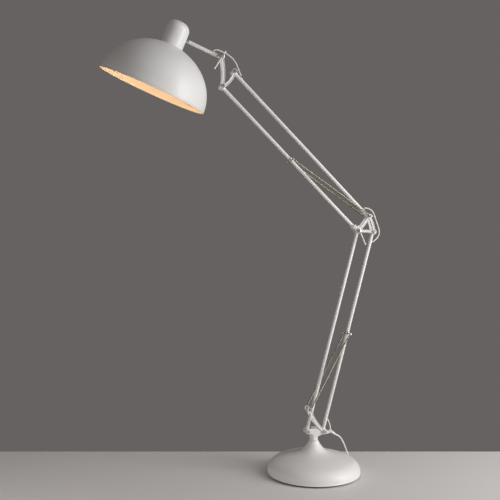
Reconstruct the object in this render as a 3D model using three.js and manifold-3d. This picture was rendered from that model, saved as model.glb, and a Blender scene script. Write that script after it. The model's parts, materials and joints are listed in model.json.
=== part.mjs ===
// Adjustable arm floor lamp: a weighted round base, two spring-balanced parallelogram arms,
// an elbow and a head bracket with T-bar clamp levers, and a tilting dome shade.
// Millimetres, +Z up. The arms move in the plane y = 0 and the shade hangs towards -X.
// The origin is on the floor, under the middle of the base.
import * as THREE from "three";
import { mergeVertices } from "three/addons/utils/BufferGeometryUtils.js";
import Module from "manifold-3d";

const wasm = await Module();
wasm.setup();

// ---------------------------------------------------------------- driving dimensions

const GAP = 0.3; // between pieces that touch on the real object

// Base
const BASE_RADIUS = 150;
const BASE_RIM_Z = 5;
const NECK_TOP_Z = 105;
const NECK_RADIUS = 16;
const COVER_WALL = 3;
const STEM_RADIUS = 6;
const STEM_TOP_Z = 122;
const WEIGHT_RADIUS = 134;
const WEIGHT_TOP_Z = 30;
const PAD_RADIUS = 143;

// Pivots in the arm plane, as x and z
const LOWER_FRONT_PIVOT = new THREE.Vector2(-23, 138);
const LOWER_REAR_PIVOT = new THREE.Vector2(32, 135.5);
const LOWER_ARM = new THREE.Vector2(178, 650);
const ELBOW_RISE = new THREE.Vector2(38.3, 48.9);
const UPPER_ARM = new THREE.Vector2(-460, 450.6);
const HEAD_TILT_RISE = new THREE.Vector2(-2, 91.7);
const SPRING_ANCHOR = new THREE.Vector2(-17, 208.6);
const SPRING_REACH = 326; // from a tube's pivot to its spring collar

// Tubes, cheeks and bolts
const TUBE_RADIUS = 5.5;
const TUBE_BORE = 4.3;
const BUSH_RADIUS = 7.5;
const CHEEK_INSIDE = 11; // half the space between two cheeks
const CHEEK_OUTSIDE = 14;
const BUSH_HALF = CHEEK_INSIDE - GAP;
const BAR_WIDTH = 9;
const EYE_RADIUS = 8.5;
const BOLT_RADIUS = 3;
const BOLT_HEAD_RADIUS = 5.5;
const BOLT_HEAD_HEIGHT = 3.6;

// Springs
const SPRING_Y = 22;
const SPRING_RADIUS = 2.6;
const SPRING_WIRE = 0.9;
const STUD_RADIUS = 2.5;
const STUD_END_Y = 27.5;
const HOOK_RADIUS = 3.8;

// T-bar levers, on the near side (-Y)
const HUB_RADIUS = 6;
const HUB_NEAR_Y = -26;
const LEVER_Y = -20;
const LEVER_RADIUS = 2.4;
const LEVER_LONG = 49;
const LEVER_SHORT = 18;

// Cord
const CORD_RADIUS = 2;
const MAINS_RADIUS = 2.5;

// Shade arm and shade
const SHADE_ARM_ANGLE = THREE.MathUtils.degToRad(158.2); // from +X, towards +Z
const SHADE_AXIS_REACH = 157.7; // from the tilt pivot to the shade's axis
const SHADE_TURN = THREE.MathUtils.degToRad(-11.2); // about the shade arm
const SHADE_ARM_RADIUS = 5.7;
const SHADE_ARM_BORE = 4.5;
const RIM_RADIUS = 174;
const RIM_DROP = 185; // from the shade arm's axis to the rim
const DOME_HEIGHT = 154;
const DOME_WALL = 1;
const DOME_HOLE = 28;
const CAP_RADIUS = 37.5;
const CAP_TOP = 44;
const CAP_SHOULDER = 26;
const CAP_WALL = 1.2;

// Mains lead, coil, switch and plug behind the base
const COIL_RADIUS = 27.5; // to the middle of the turns
const COIL_HALF = 7.5; // half the bundle's width and height
const SWITCH_LENGTH = 50;
const SWITCH_WIDTH = 24;
const SWITCH_HEIGHT = 17;
const PLUG_LENGTH = 34;
const PLUG_WIDTH = 26;
const PLUG_HEIGHT = 14;
const PIN_SPACING = 19;

// ---------------------------------------------------------------- materials

function finish(color, roughness, metalness) {
  return new THREE.MeshStandardMaterial({ color, roughness, metalness });
}

const WHITE_PAINT = finish(0xe9e8e4, 0.35, 0.0);
const STEEL = finish(0x9a968e, 0.35, 0.9);
const SPRING_STEEL = finish(0x8d8576, 0.4, 0.9);
const IRON = finish(0x4a4a4c, 0.8, 0.6);
const FELT = finish(0x2b2b2c, 0.95, 0.0);
const NYLON = finish(0xf0efe9, 0.5, 0.0);
const WHITE_CORD = finish(0xecebe6, 0.55, 0.0);
const BAKELITE = finish(0x2a2725, 0.45, 0.0);
const LAMP_GLASS = finish(0xfff2d8, 0.15, 0.0);

// ---------------------------------------------------------------- solids and booleans

// A closed geometry as a solid, with its shared vertices merged.
function solidOf(geometry) {
  const bare = new THREE.BufferGeometry();
  const source = geometry.index ? geometry.toNonIndexed() : geometry;
  bare.setAttribute("position", source.getAttribute("position"));
  const merged = mergeVertices(bare, 1e-3);
  return new wasm.Manifold(
    new wasm.Mesh({
      numProp: 3,
      vertProperties: new Float32Array(merged.attributes.position.array),
      triVerts: new Uint32Array(merged.index.array),
    }),
  );
}

function geometryOf(solid) {
  const mesh = solid.getMesh();
  const geometry = new THREE.BufferGeometry();
  geometry.setAttribute("position", new THREE.BufferAttribute(mesh.vertProperties, 3));
  geometry.setIndex(new THREE.BufferAttribute(mesh.triVerts, 1));
  geometry.computeVertexNormals();
  return geometry;
}

function join(...geometries) {
  const solids = geometries.map(solidOf);
  return geometryOf(solids.reduce((sum, next) => sum.add(next)));
}

function cut(body, ...tools) {
  const solids = tools.map(solidOf);
  return geometryOf(solids.reduce((rest, tool) => rest.subtract(tool), solidOf(body)));
}

// ---------------------------------------------------------------- basic shapes

// A point of the arm plane, moved sideways by y.
function at(point, y = 0) {
  return new THREE.Vector3(point.x, y, point.y);
}

// A geometry made along +Y from the origin, laid from one point towards another.
function laid(geometry, from, to) {
  const direction = to.clone().sub(from).normalize();
  const turn = new THREE.Quaternion().setFromUnitVectors(new THREE.Vector3(0, 1, 0), direction);
  return geometry.applyQuaternion(turn).translate(from.x, from.y, from.z);
}

function rod(from, to, radius, sides = 14) {
  const length = from.distanceTo(to);
  const cylinder = new THREE.CylinderGeometry(radius, radius, length, sides);
  return laid(cylinder.translate(0, length / 2, 0), from, to);
}

// A cylinder across the arm plane, round a pivot.
function across(point, yFrom, yTo, radius, sides = 14) {
  return rod(at(point, yFrom), at(point, yTo), radius, sides);
}

// A body of revolution about +Z. The profile runs from the top of the outside to the bottom.
function turned(profile, sides) {
  const points = profile.map(([radius, height]) => new THREE.Vector2(radius, height));
  return new THREE.LatheGeometry(points, sides).rotateX(Math.PI / 2);
}

// A ring about +Z with a rectangular section.
function ring(inner, outer, low, high, sides) {
  return turned(
    [
      [inner, low],
      [outer, low],
      [outer, high],
      [inner, high],
      [inner, low],
    ],
    sides,
  );
}

// A plate in the arm plane between two y values, from an outline drawn in x and z.
function plate(shape, yFrom, yTo, curveSegments = 8) {
  const options = { depth: yTo - yFrom, bevelEnabled: false, curveSegments };
  const slab = new THREE.ExtrudeGeometry(shape, options);
  return slab.rotateX(Math.PI / 2).translate(0, yTo, 0);
}

function box(xFrom, xTo, yFrom, yTo, zFrom, zTo) {
  const size = new THREE.BoxGeometry(xTo - xFrom, yTo - yFrom, zTo - zFrom);
  return size.translate((xFrom + xTo) / 2, (yFrom + yTo) / 2, (zFrom + zTo) / 2);
}

// The outline of a flat bar between two pivots, bowed sideways by `bow`, with round eyes.
function curvedBar(from, to, bow, width = BAR_WIDTH) {
  const along = to.clone().sub(from);
  const side = new THREE.Vector2(along.y, -along.x).normalize();
  const middle = from.clone().lerp(to, 0.5).addScaledVector(side, 2 * bow);
  const curve = new THREE.QuadraticBezierCurve(from, middle, to);
  const steps = 5;
  const left = [];
  const right = [];
  for (let i = 0; i <= steps; i += 1) {
    const point = curve.getPoint(i / steps);
    const tangent = curve.getTangent(i / steps);
    const normal = new THREE.Vector2(tangent.y, -tangent.x).multiplyScalar(width / 2);
    left.push(point.clone().sub(normal));
    right.push(point.clone().add(normal));
  }
  return new THREE.Shape([...right, ...left.reverse()]);
}

// A cheek: curved bars between pivots, an eye round each pivot and a hole for each bolt.
function cheek(bars, pivots, yFrom, yTo) {
  const solids = bars.map(([from, to, bow]) => plate(curvedBar(from, to, bow), yFrom, yTo));
  const eyes = pivots.map((pivot) => across(pivot, yFrom, yTo, EYE_RADIUS, 12));
  const holes = pivots.map((pivot) => across(pivot, yFrom - 1, yTo + 1, BOLT_RADIUS + 2 * GAP, 8));
  return cut(join(...solids, ...eyes), ...holes);
}

// A bolt across the arm plane with a head and a nut outside the given faces.
function bolt(point, yNear, yFar) {
  const head = yNear - GAP;
  const nut = yFar + GAP;
  return join(
    across(point, head - 0.5, nut + 0.5, BOLT_RADIUS, 12),
    across(point, head - BOLT_HEAD_HEIGHT, head, BOLT_HEAD_RADIUS, 12),
    across(point, nut, nut + BOLT_HEAD_HEIGHT, BOLT_HEAD_RADIUS, 6),
  );
}

// A tube along a route of points, as an extruded round section.
function cordAlong(points, radius, sides, steps) {
  const route = new THREE.CatmullRomCurve3(points, false, "centripetal");
  const section = new THREE.Shape().absarc(0, 0, radius, 0, 2 * Math.PI);
  return new THREE.ExtrudeGeometry(section, {
    steps,
    extrudePath: route,
    curveSegments: sides / 2,
    bevelEnabled: false,
  });
}

// ---------------------------------------------------------------- places worked out

const ELBOW_FRONT = LOWER_FRONT_PIVOT.clone().add(LOWER_ARM);
const ELBOW_REAR = LOWER_REAR_PIVOT.clone().add(LOWER_ARM);
const ELBOW_TOP = ELBOW_FRONT.clone().add(ELBOW_RISE);
const HEAD_LOW = ELBOW_FRONT.clone().add(UPPER_ARM);
const HEAD_REAR = HEAD_LOW.clone().add(ELBOW_RISE);
const HEAD_TILT = HEAD_LOW.clone().add(HEAD_TILT_RISE);

const LOWER_DIRECTION = LOWER_ARM.clone().normalize();
const UPPER_DIRECTION = UPPER_ARM.clone().normalize();
const SHADE_ARM_DIRECTION = new THREE.Vector2(Math.cos(SHADE_ARM_ANGLE), Math.sin(SHADE_ARM_ANGLE));

const LOWER_COLLAR = LOWER_REAR_PIVOT.clone().addScaledVector(LOWER_DIRECTION, SPRING_REACH);
const UPPER_COLLAR = ELBOW_FRONT.clone().addScaledVector(UPPER_DIRECTION, SPRING_REACH);

// ---------------------------------------------------------------- assembly

const lamp = new THREE.Group();

function add(name, geometry, material, parent = lamp) {
  const mesh = new THREE.Mesh(geometry, material);
  mesh.name = name;
  parent.add(mesh);
  return mesh;
}

// ---------------------------------------------------------------- base

// The cover's outside in radius and height, from the neck to the rim.
function coverCurve() {
  return new THREE.SplineCurve([
    new THREE.Vector2(NECK_RADIUS, NECK_TOP_Z),
    new THREE.Vector2(21, 95.4),
    new THREE.Vector2(39, 75),
    new THREE.Vector2(62, 65.5),
    new THREE.Vector2(100, 55.5),
    new THREE.Vector2(133, 41.5),
    new THREE.Vector2(147.5, 24),
    new THREE.Vector2(BASE_RADIUS, BASE_RIM_Z),
  ]);
}

function baseCover() {
  const curve = coverCurve();
  const steps = 9;
  const outside = [];
  const inside = [];
  for (let i = 0; i <= steps; i += 1) {
    const point = curve.getPoint(i / steps);
    const tangent = curve.getTangent(i / steps);
    outside.push([point.x, point.y]);
    const x = point.x + tangent.y * COVER_WALL;
    const y = point.y - tangent.x * COVER_WALL;
    if (x > 24) inside.push([x, Math.max(y, BASE_RIM_Z)]);
  }
  const boreTop = [STEM_RADIUS + GAP, NECK_TOP_Z];
  const boreLow = [STEM_RADIUS + GAP, inside[0][1]];
  const profile = [...outside.reverse(), boreTop, boreLow, ...inside];
  profile.push(profile[0]);
  return turned(profile, 32);
}

function makeBase() {
  add("base_cover", baseCover(), WHITE_PAINT);
  add("base_weight", ring(STEM_RADIUS + GAP, WEIGHT_RADIUS, 8, WEIGHT_TOP_Z, 36), IRON);
  add("base_plate", turnedDisc(BASE_RADIUS - COVER_WALL - 1.5, 5.3, 6.9), STEEL);
  add("base_pad", turnedDisc(PAD_RADIUS, 0, 5), FELT);
  add("stem_pin", rod(new THREE.Vector3(0, 0, 9), new THREE.Vector3(0, 0, STEM_TOP_Z), STEM_RADIUS), STEEL);
  const washerLow = NECK_TOP_Z + GAP;
  add("swivel_washer", ring(STEM_RADIUS + GAP, NECK_RADIUS - 0.5, washerLow, washerLow + 1.2, 24), NYLON);
}

function turnedDisc(radius, low, high) {
  return turned(
    [
      [0, low],
      [radius, low],
      [radius, high],
      [0, high],
    ],
    40,
  );
}

// ---------------------------------------------------------------- bottom bracket

const COLLAR_LOW_Z = NECK_TOP_Z + 1.8;
const SLOT_FLOOR_Z = 127.2;
const BRACKET_TOP_Z = 147;
const FRONT_SLOT_X = -8;
const REAR_SLOT_X = 20;
const CLIP_CENTRE = new THREE.Vector2(58.5, 132.5);

function castingOutline() {
  const shape = new THREE.Shape();
  shape.moveTo(-22, 130);
  shape.lineTo(-10, 129);
  shape.lineTo(8, 119);
  shape.quadraticCurveTo(20, 125, 36, 127);
  shape.lineTo(50, 128);
  shape.lineTo(52, 131);
  shape.lineTo(50, 134.5);
  shape.lineTo(36, 143);
  shape.quadraticCurveTo(26, BRACKET_TOP_Z, 14, BRACKET_TOP_Z);
  shape.lineTo(-22, BRACKET_TOP_Z - 0.5);
  return shape;
}

function swivelBracket() {
  const collar = turned(
    [
      [0, COLLAR_LOW_Z],
      [CHEEK_OUTSIDE, COLLAR_LOW_Z],
      [CHEEK_OUTSIDE, BRACKET_TOP_Z],
      [0, BRACKET_TOP_Z],
    ],
    18,
  );
  const body = join(
    collar,
    plate(castingOutline(), -CHEEK_OUTSIDE, CHEEK_OUTSIDE, 4),
    across(LOWER_FRONT_PIVOT, -CHEEK_OUTSIDE, CHEEK_OUTSIDE, EYE_RADIUS, 14),
    across(LOWER_REAR_PIVOT, -CHEEK_OUTSIDE, CHEEK_OUTSIDE, EYE_RADIUS, 14),
  );
  const stemBore = rod(
    new THREE.Vector3(0, 0, COLLAR_LOW_Z - 1),
    new THREE.Vector3(0, 0, STEM_TOP_Z + GAP),
    STEM_RADIUS + GAP,
  );
  return cut(
    body,
    stemBore,
    box(-50, FRONT_SLOT_X, -CHEEK_INSIDE, CHEEK_INSIDE, SLOT_FLOOR_Z, 170),
    box(REAR_SLOT_X, 42, -CHEEK_INSIDE, CHEEK_INSIDE, SLOT_FLOOR_Z, 170),
    box(41, 60, -CHEEK_INSIDE, CHEEK_INSIDE, 134, 170),
    across(LOWER_FRONT_PIVOT, -20, 20, BOLT_RADIUS + 2 * GAP, 8),
    across(LOWER_REAR_PIVOT, -20, 20, BOLT_RADIUS + 2 * GAP, 8),
  );
}

const SPRING_ARM_INSIDE = CHEEK_OUTSIDE + GAP;
const SPRING_ARM_OUTSIDE = SPRING_ARM_INSIDE + 3;

// A curved arm beside the front tube, with a riveted stud outside it for the spring's hook.
// The two studs don't meet, so the front tube swings between the arms.
function springArm(side) {
  const faces = [side * SPRING_ARM_INSIDE, side * SPRING_ARM_OUTSIDE].sort((a, b) => a - b);
  const pivots = [LOWER_REAR_PIVOT, SPRING_ANCHOR];
  const arm = cheek([[LOWER_REAR_PIVOT, SPRING_ANCHOR, -6]], pivots, ...faces);
  const shank = across(SPRING_ANCHOR, side * SPRING_ARM_INSIDE, side * STUD_END_Y, STUD_RADIUS, 8);
  const rivet = across(SPRING_ANCHOR, faces[0] + 0.2, faces[1] - 0.2, EYE_RADIUS - 2, 10);
  const head = across(SPRING_ANCHOR, side * STUD_END_Y, side * (STUD_END_Y + 1.5), STUD_RADIUS + 1.5, 8);
  return join(arm, shank, rivet, head);
}

function makeBracket() {
  add("swivel_bracket", swivelBracket(), WHITE_PAINT);
  add("spring_arm_near", springArm(-1), WHITE_PAINT);
  add("spring_arm_far", springArm(1), WHITE_PAINT);
  add("front_pivot_bolt", bolt(LOWER_FRONT_PIVOT, -CHEEK_OUTSIDE, CHEEK_OUTSIDE), STEEL);
  add("rear_pivot_bolt", bolt(LOWER_REAR_PIVOT, -SPRING_ARM_OUTSIDE, SPRING_ARM_OUTSIDE), STEEL);
  add("cord_clip", across(CLIP_CENTRE, -5.5, 5.5, 5.5, 16), NYLON);
}

// ---------------------------------------------------------------- arm tubes

// A tube between two pivots with a cross bush at each end, open into the bushes' bores.
function armTube(from, to, halfFrom, halfTo) {
  const body = join(
    rod(at(from), at(to), TUBE_RADIUS, 12),
    across(from, -halfFrom, halfFrom, BUSH_RADIUS, 12),
    across(to, -halfTo, halfTo, BUSH_RADIUS, 12),
  );
  return cut(
    body,
    rod(at(from), at(to), TUBE_BORE, 8),
    across(from, -20, 20, BOLT_RADIUS + 2 * GAP, 8),
    across(to, -20, 20, BOLT_RADIUS + 2 * GAP, 8),
  );
}

// A round hole in one side of a tube, where the cord goes in or out.
function cordHole(pivot, direction, distance, side) {
  const centre = pivot.clone().addScaledVector(direction, distance);
  const outside = centre.clone().addScaledVector(side, TUBE_RADIUS + 3);
  return rod(at(centre), at(outside), CORD_RADIUS + 0.8, 8);
}

const FORK_INSIDE = 5.9;
const FORK_BLOCK_FROM = 13;
const FORK_BLOCK_TO = 24;

// The upper arm's lower tube ends in a fork that straddles the front tube at the elbow.
function forkedTube() {
  const blockFrom = ELBOW_FRONT.clone().addScaledVector(UPPER_DIRECTION, FORK_BLOCK_FROM);
  const blockTo = ELBOW_FRONT.clone().addScaledVector(UPPER_DIRECTION, FORK_BLOCK_TO);
  const tongue = curvedBar(ELBOW_FRONT, blockTo, 0, 2 * BUSH_RADIUS - 2);
  const body = join(
    rod(at(blockFrom), at(HEAD_LOW), TUBE_RADIUS, 12),
    across(HEAD_LOW, -BUSH_HALF, BUSH_HALF, BUSH_RADIUS, 12),
    plate(curvedBar(blockFrom, blockTo, 0, 2 * BUSH_RADIUS - 2), -BUSH_HALF, BUSH_HALF),
    plate(tongue, FORK_INSIDE, BUSH_HALF),
    plate(tongue, -BUSH_HALF, -FORK_INSIDE),
    across(ELBOW_FRONT, FORK_INSIDE, BUSH_HALF, BUSH_RADIUS, 12),
    across(ELBOW_FRONT, -BUSH_HALF, -FORK_INSIDE, BUSH_RADIUS, 12),
  );
  const boreFrom = ELBOW_FRONT.clone().addScaledVector(UPPER_DIRECTION, FORK_BLOCK_FROM - 3);
  return cut(
    body,
    rod(at(boreFrom), at(HEAD_LOW), TUBE_BORE, 8),
    across(ELBOW_FRONT, -20, 20, BOLT_RADIUS + 2 * GAP, 8),
    across(HEAD_LOW, -20, 20, BOLT_RADIUS + 2 * GAP, 8),
  );
}

// A clamp collar round a tube with a stud on each side for the springs' hooks.
function springCollar(point, direction) {
  const low = point.clone().addScaledVector(direction, -6);
  const high = point.clone().addScaledVector(direction, 6);
  const body = join(
    rod(at(low), at(high), TUBE_RADIUS + 3, 12),
    across(point, -STUD_END_Y, STUD_END_Y, STUD_RADIUS, 8),
    across(point, -STUD_END_Y - 1.5, -STUD_END_Y, STUD_RADIUS + 1.5, 8),
    across(point, STUD_END_Y, STUD_END_Y + 1.5, STUD_RADIUS + 1.5, 8),
  );
  const boreFrom = low.clone().addScaledVector(direction, -5);
  const boreTo = high.clone().addScaledVector(direction, 5);
  return cut(body, rod(at(boreFrom), at(boreTo), TUBE_RADIUS + 2 * GAP, 12));
}

const LOWER_SIDE = new THREE.Vector2(LOWER_DIRECTION.y, -LOWER_DIRECTION.x); // to the rear
const UPPER_SIDE = new THREE.Vector2(UPPER_DIRECTION.y, -UPPER_DIRECTION.x); // upwards
const LOWER_EXIT_LOW = 38;
const LOWER_EXIT_HIGH = LOWER_ARM.length() - 34;
const UPPER_EXIT_LOW = 28;
const UPPER_EXIT_HIGH = UPPER_ARM.length() - 30;

function makeArms() {
  const lowerHoles = [LOWER_EXIT_LOW, LOWER_EXIT_HIGH].map((distance) =>
    cordHole(LOWER_REAR_PIVOT, LOWER_DIRECTION, distance, LOWER_SIDE),
  );
  const rearTube = armTube(LOWER_REAR_PIVOT, ELBOW_REAR, BUSH_HALF, BUSH_HALF);
  add("lower_rear_tube", cut(rearTube, ...lowerHoles), WHITE_PAINT);
  add("lower_front_tube", armTube(LOWER_FRONT_PIVOT, ELBOW_FRONT, BUSH_HALF, FORK_INSIDE - GAP), WHITE_PAINT);
  add("lower_spring_collar", springCollar(LOWER_COLLAR, LOWER_DIRECTION), STEEL);
  add("upper_lower_tube", forkedTube(), WHITE_PAINT);
  const upperHoles = [UPPER_EXIT_LOW, UPPER_EXIT_HIGH].map((distance) =>
    cordHole(ELBOW_TOP, UPPER_DIRECTION, distance, UPPER_SIDE),
  );
  const upperTube = armTube(ELBOW_TOP, HEAD_REAR, BUSH_HALF, BUSH_HALF);
  add("upper_upper_tube", cut(upperTube, ...upperHoles), WHITE_PAINT);
  add("upper_spring_collar", springCollar(UPPER_COLLAR, UPPER_DIRECTION), STEEL);
}

// ---------------------------------------------------------------- springs

const COIL_START = 13; // from the anchor to the first turn
const COIL_END = 22; // from the last turn to the stud

// A wire loop round a stud, in a plane along the spring, with a straight tail into the coil.
function hookLoop(centre, direction, y, tailLength) {
  const loop = new THREE.TorusGeometry(HOOK_RADIUS, SPRING_WIRE, 6, 12);
  loop.rotateX(Math.PI / 2).translate(centre.x, y, centre.y);
  const tailFrom = centre.clone().addScaledVector(direction, HOOK_RADIUS - 0.3);
  const tailTo = centre.clone().addScaledVector(direction, tailLength);
  return join(loop, rod(at(tailFrom, y), at(tailTo, y), SPRING_WIRE, 6));
}

// The wound length of a spring as a thin hollow cylinder, with the hook at its fixed end.
function springBody(anchor, stud, y) {
  const direction = stud.clone().sub(anchor).normalize();
  const start = anchor.clone().addScaledVector(direction, COIL_START);
  const end = stud.clone().addScaledVector(direction, -COIL_END);
  const outside = rod(at(start, y), at(end, y), SPRING_RADIUS, 10);
  const boreFrom = start.clone().addScaledVector(direction, 2);
  const boreTo = end.clone().addScaledVector(direction, 2);
  const bore = rod(at(boreFrom, y), at(boreTo, y), SPRING_RADIUS - 1.2, 8);
  return join(cut(outside, bore), hookLoop(anchor, direction, y, COIL_START + 1));
}

// The hook at the moving end, whose tail reaches the wound length.
function springHook(anchor, stud, y) {
  const back = anchor.clone().sub(stud).normalize();
  return hookLoop(stud, back, y, COIL_END - GAP);
}

function makeSprings() {
  const arms = [
    ["lower", SPRING_ANCHOR, LOWER_COLLAR],
    ["upper", ELBOW_TOP, UPPER_COLLAR],
  ];
  const sides = [
    ["near", -SPRING_Y],
    ["far", SPRING_Y],
  ];
  for (const [arm, anchor, stud] of arms) {
    for (const [side, y] of sides) {
      add(`${arm}_spring_${side}`, springBody(anchor, stud, y), SPRING_STEEL);
      add(`${arm}_hook_${side}`, springHook(anchor, stud, y), SPRING_STEEL);
    }
  }
}

// ---------------------------------------------------------------- elbow and head brackets

// A T-bar lever: a hub on the near side and a bar that slides through it.
function makeLever(name, pivot, longEnd) {
  const direction = longEnd.clone().normalize();
  const barFrom = pivot.clone().addScaledVector(direction, -LEVER_SHORT);
  const barTo = pivot.clone().addScaledVector(direction, LEVER_LONG);
  const holeFrom = pivot.clone().addScaledVector(direction, -HUB_RADIUS - 2);
  const holeTo = pivot.clone().addScaledVector(direction, HUB_RADIUS + 2);
  const hub = across(pivot, HUB_NEAR_Y, -CHEEK_OUTSIDE - GAP, HUB_RADIUS, 18);
  const hole = rod(at(holeFrom, LEVER_Y), at(holeTo, LEVER_Y), LEVER_RADIUS + GAP, 12);
  add(`${name}_lever_hub`, cut(hub, hole), STEEL);
  add(`${name}_lever_bar`, rod(at(barFrom, LEVER_Y), at(barTo, LEVER_Y), LEVER_RADIUS, 12), WHITE_PAINT);
}

// A clamp bolt: a nut on the far side and a shank that ends in the lever's hub face.
function clampBolt(pivot) {
  const nut = CHEEK_OUTSIDE + GAP;
  return join(
    across(pivot, -CHEEK_OUTSIDE, nut + 0.5, BOLT_RADIUS, 12),
    across(pivot, nut, nut + BOLT_HEAD_HEIGHT, BOLT_HEAD_RADIUS, 6),
  );
}

function makeElbow() {
  const bars = [
    [ELBOW_FRONT, ELBOW_TOP, 1.5],
    [ELBOW_TOP, ELBOW_REAR, -3],
    [ELBOW_FRONT, ELBOW_REAR, -1],
  ];
  const pivots = [ELBOW_FRONT, ELBOW_TOP, ELBOW_REAR];
  add("elbow_cheek_near", cheek(bars, pivots, -CHEEK_OUTSIDE, -CHEEK_INSIDE), WHITE_PAINT);
  add("elbow_cheek_far", cheek(bars, pivots, CHEEK_INSIDE, CHEEK_OUTSIDE), WHITE_PAINT);
  add("elbow_clamp_bolt", clampBolt(ELBOW_FRONT), STEEL);
  const topPin = join(
    across(ELBOW_TOP, -STUD_END_Y, STUD_END_Y, STUD_RADIUS, 8),
    across(ELBOW_TOP, -STUD_END_Y - 1.5, -STUD_END_Y, STUD_RADIUS + 1.5, 8),
    across(ELBOW_TOP, STUD_END_Y, STUD_END_Y + 1.5, STUD_RADIUS + 1.5, 8),
  );
  add("elbow_top_pin", topPin, STEEL);
  add("elbow_rear_bolt", bolt(ELBOW_REAR, -CHEEK_OUTSIDE, CHEEK_OUTSIDE), STEEL);
  makeLever("elbow", ELBOW_FRONT, new THREE.Vector2(20, -45));
}

function makeHead() {
  const bars = [
    [HEAD_LOW, HEAD_TILT, 4],
    [HEAD_LOW, HEAD_REAR, 8],
  ];
  const pivots = [HEAD_LOW, HEAD_REAR, HEAD_TILT];
  add("head_cheek_near", cheek(bars, pivots, -CHEEK_OUTSIDE, -CHEEK_INSIDE), WHITE_PAINT);
  add("head_cheek_far", cheek(bars, pivots, CHEEK_INSIDE, CHEEK_OUTSIDE), WHITE_PAINT);
  add("head_low_bolt", bolt(HEAD_LOW, -CHEEK_OUTSIDE, CHEEK_OUTSIDE), STEEL);
  add("head_rear_bolt", bolt(HEAD_REAR, -CHEEK_OUTSIDE, CHEEK_OUTSIDE), STEEL);
  add("head_clamp_bolt", clampBolt(HEAD_TILT), STEEL);
  makeLever("head", HEAD_TILT, new THREE.Vector2(-26, -42));
}

// ---------------------------------------------------------------- shade arm and shade

const CAP_FACE = SHADE_AXIS_REACH - CAP_RADIUS;

function alongShadeArm(distance) {
  return HEAD_TILT.clone().addScaledVector(SHADE_ARM_DIRECTION, distance);
}

function headKnuckle() {
  const body = join(
    across(HEAD_TILT, -BUSH_HALF, BUSH_HALF, BUSH_RADIUS + 0.5, 18),
    rod(at(HEAD_TILT), at(alongShadeArm(14)), SHADE_ARM_RADIUS, 14),
    rod(at(HEAD_TILT), at(alongShadeArm(24)), SHADE_ARM_BORE - GAP, 12),
  );
  return cut(body, across(HEAD_TILT, -20, 20, BOLT_RADIUS + GAP, 12));
}

function shadeArmTube() {
  const from = at(alongShadeArm(14 + GAP));
  const to = at(alongShadeArm(SHADE_AXIS_REACH - 20));
  const side = new THREE.Vector2(SHADE_ARM_DIRECTION.y, -SHADE_ARM_DIRECTION.x);
  return cut(
    rod(from, to, SHADE_ARM_RADIUS, 16),
    rod(at(alongShadeArm(5)), at(alongShadeArm(SHADE_AXIS_REACH)), SHADE_ARM_BORE, 12),
    cordHole(HEAD_TILT, SHADE_ARM_DIRECTION, 29, side),
  );
}

// A frame on the shade's axis: +Z up the axis and +X back along the shade arm.
function shadeFrame() {
  const frame = new THREE.Group();
  const arm = at(SHADE_ARM_DIRECTION);
  const back = arm.clone().negate();
  const upright = new THREE.Vector3(SHADE_ARM_DIRECTION.y, 0, -SHADE_ARM_DIRECTION.x);
  const up = upright.applyAxisAngle(arm, SHADE_TURN);
  const side = up.clone().cross(back);
  frame.quaternion.setFromRotationMatrix(new THREE.Matrix4().makeBasis(back, side, up));
  frame.position.copy(at(alongShadeArm(SHADE_AXIS_REACH)));
  return frame;
}

// A point of the dome's wall at an angle up from the rim, inset from the outside.
function domePoint(angle, inset) {
  const radius = (RIM_RADIUS - inset) * Math.cos(angle);
  const height = (DOME_HEIGHT - inset) * Math.sin(angle) - RIM_DROP;
  return [radius, height];
}

function shadeDome() {
  const top = Math.acos(DOME_HOLE / RIM_RADIUS);
  const steps = 8;
  const outside = [];
  const inside = [];
  for (let i = 0; i <= steps; i += 1) {
    outside.push(domePoint((top * i) / steps, 0));
    inside.push(domePoint((top * i) / steps, DOME_WALL));
  }
  const profile = [...outside, ...inside.reverse()];
  profile.push(profile[0]);
  return turned(profile, 32);
}

function shadeCap() {
  const low = 0.3 + DOME_HEIGHT * Math.sqrt(1 - (CAP_RADIUS / RIM_RADIUS) ** 2) - RIM_DROP;
  const shoulder = CAP_TOP - CAP_SHOULDER;
  const outside = [[CAP_RADIUS, low]];
  const inside = [[CAP_RADIUS - CAP_WALL, low]];
  const steps = 5;
  for (let i = 0; i <= steps; i += 1) {
    const angle = (Math.PI / 2) * (i / steps);
    const reach = CAP_RADIUS - CAP_SHOULDER;
    outside.push([reach + CAP_SHOULDER * Math.cos(angle), shoulder + CAP_SHOULDER * Math.sin(angle)]);
    const inner = CAP_SHOULDER - CAP_WALL;
    inside.push([reach + inner * Math.cos(angle), shoulder + inner * Math.sin(angle)]);
  }
  const profile = [...outside, [0, CAP_TOP], [0, CAP_TOP - CAP_WALL], ...inside.reverse()];
  profile.push(profile[0]);
  const hole = rod(new THREE.Vector3(20, 0, 0), new THREE.Vector3(50, 0, 0), SHADE_ARM_RADIUS + 0.6, 16);
  return cut(turned(profile, 24), hole);
}

function lampSocket() {
  return turned(
    [
      [0, -62],
      [13.6, -62],
      [13.6, -92],
      [17, -92],
      [18, -44],
      [16, -38.5],
      [16, -12],
      [0, -12],
    ],
    18,
  );
}

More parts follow.
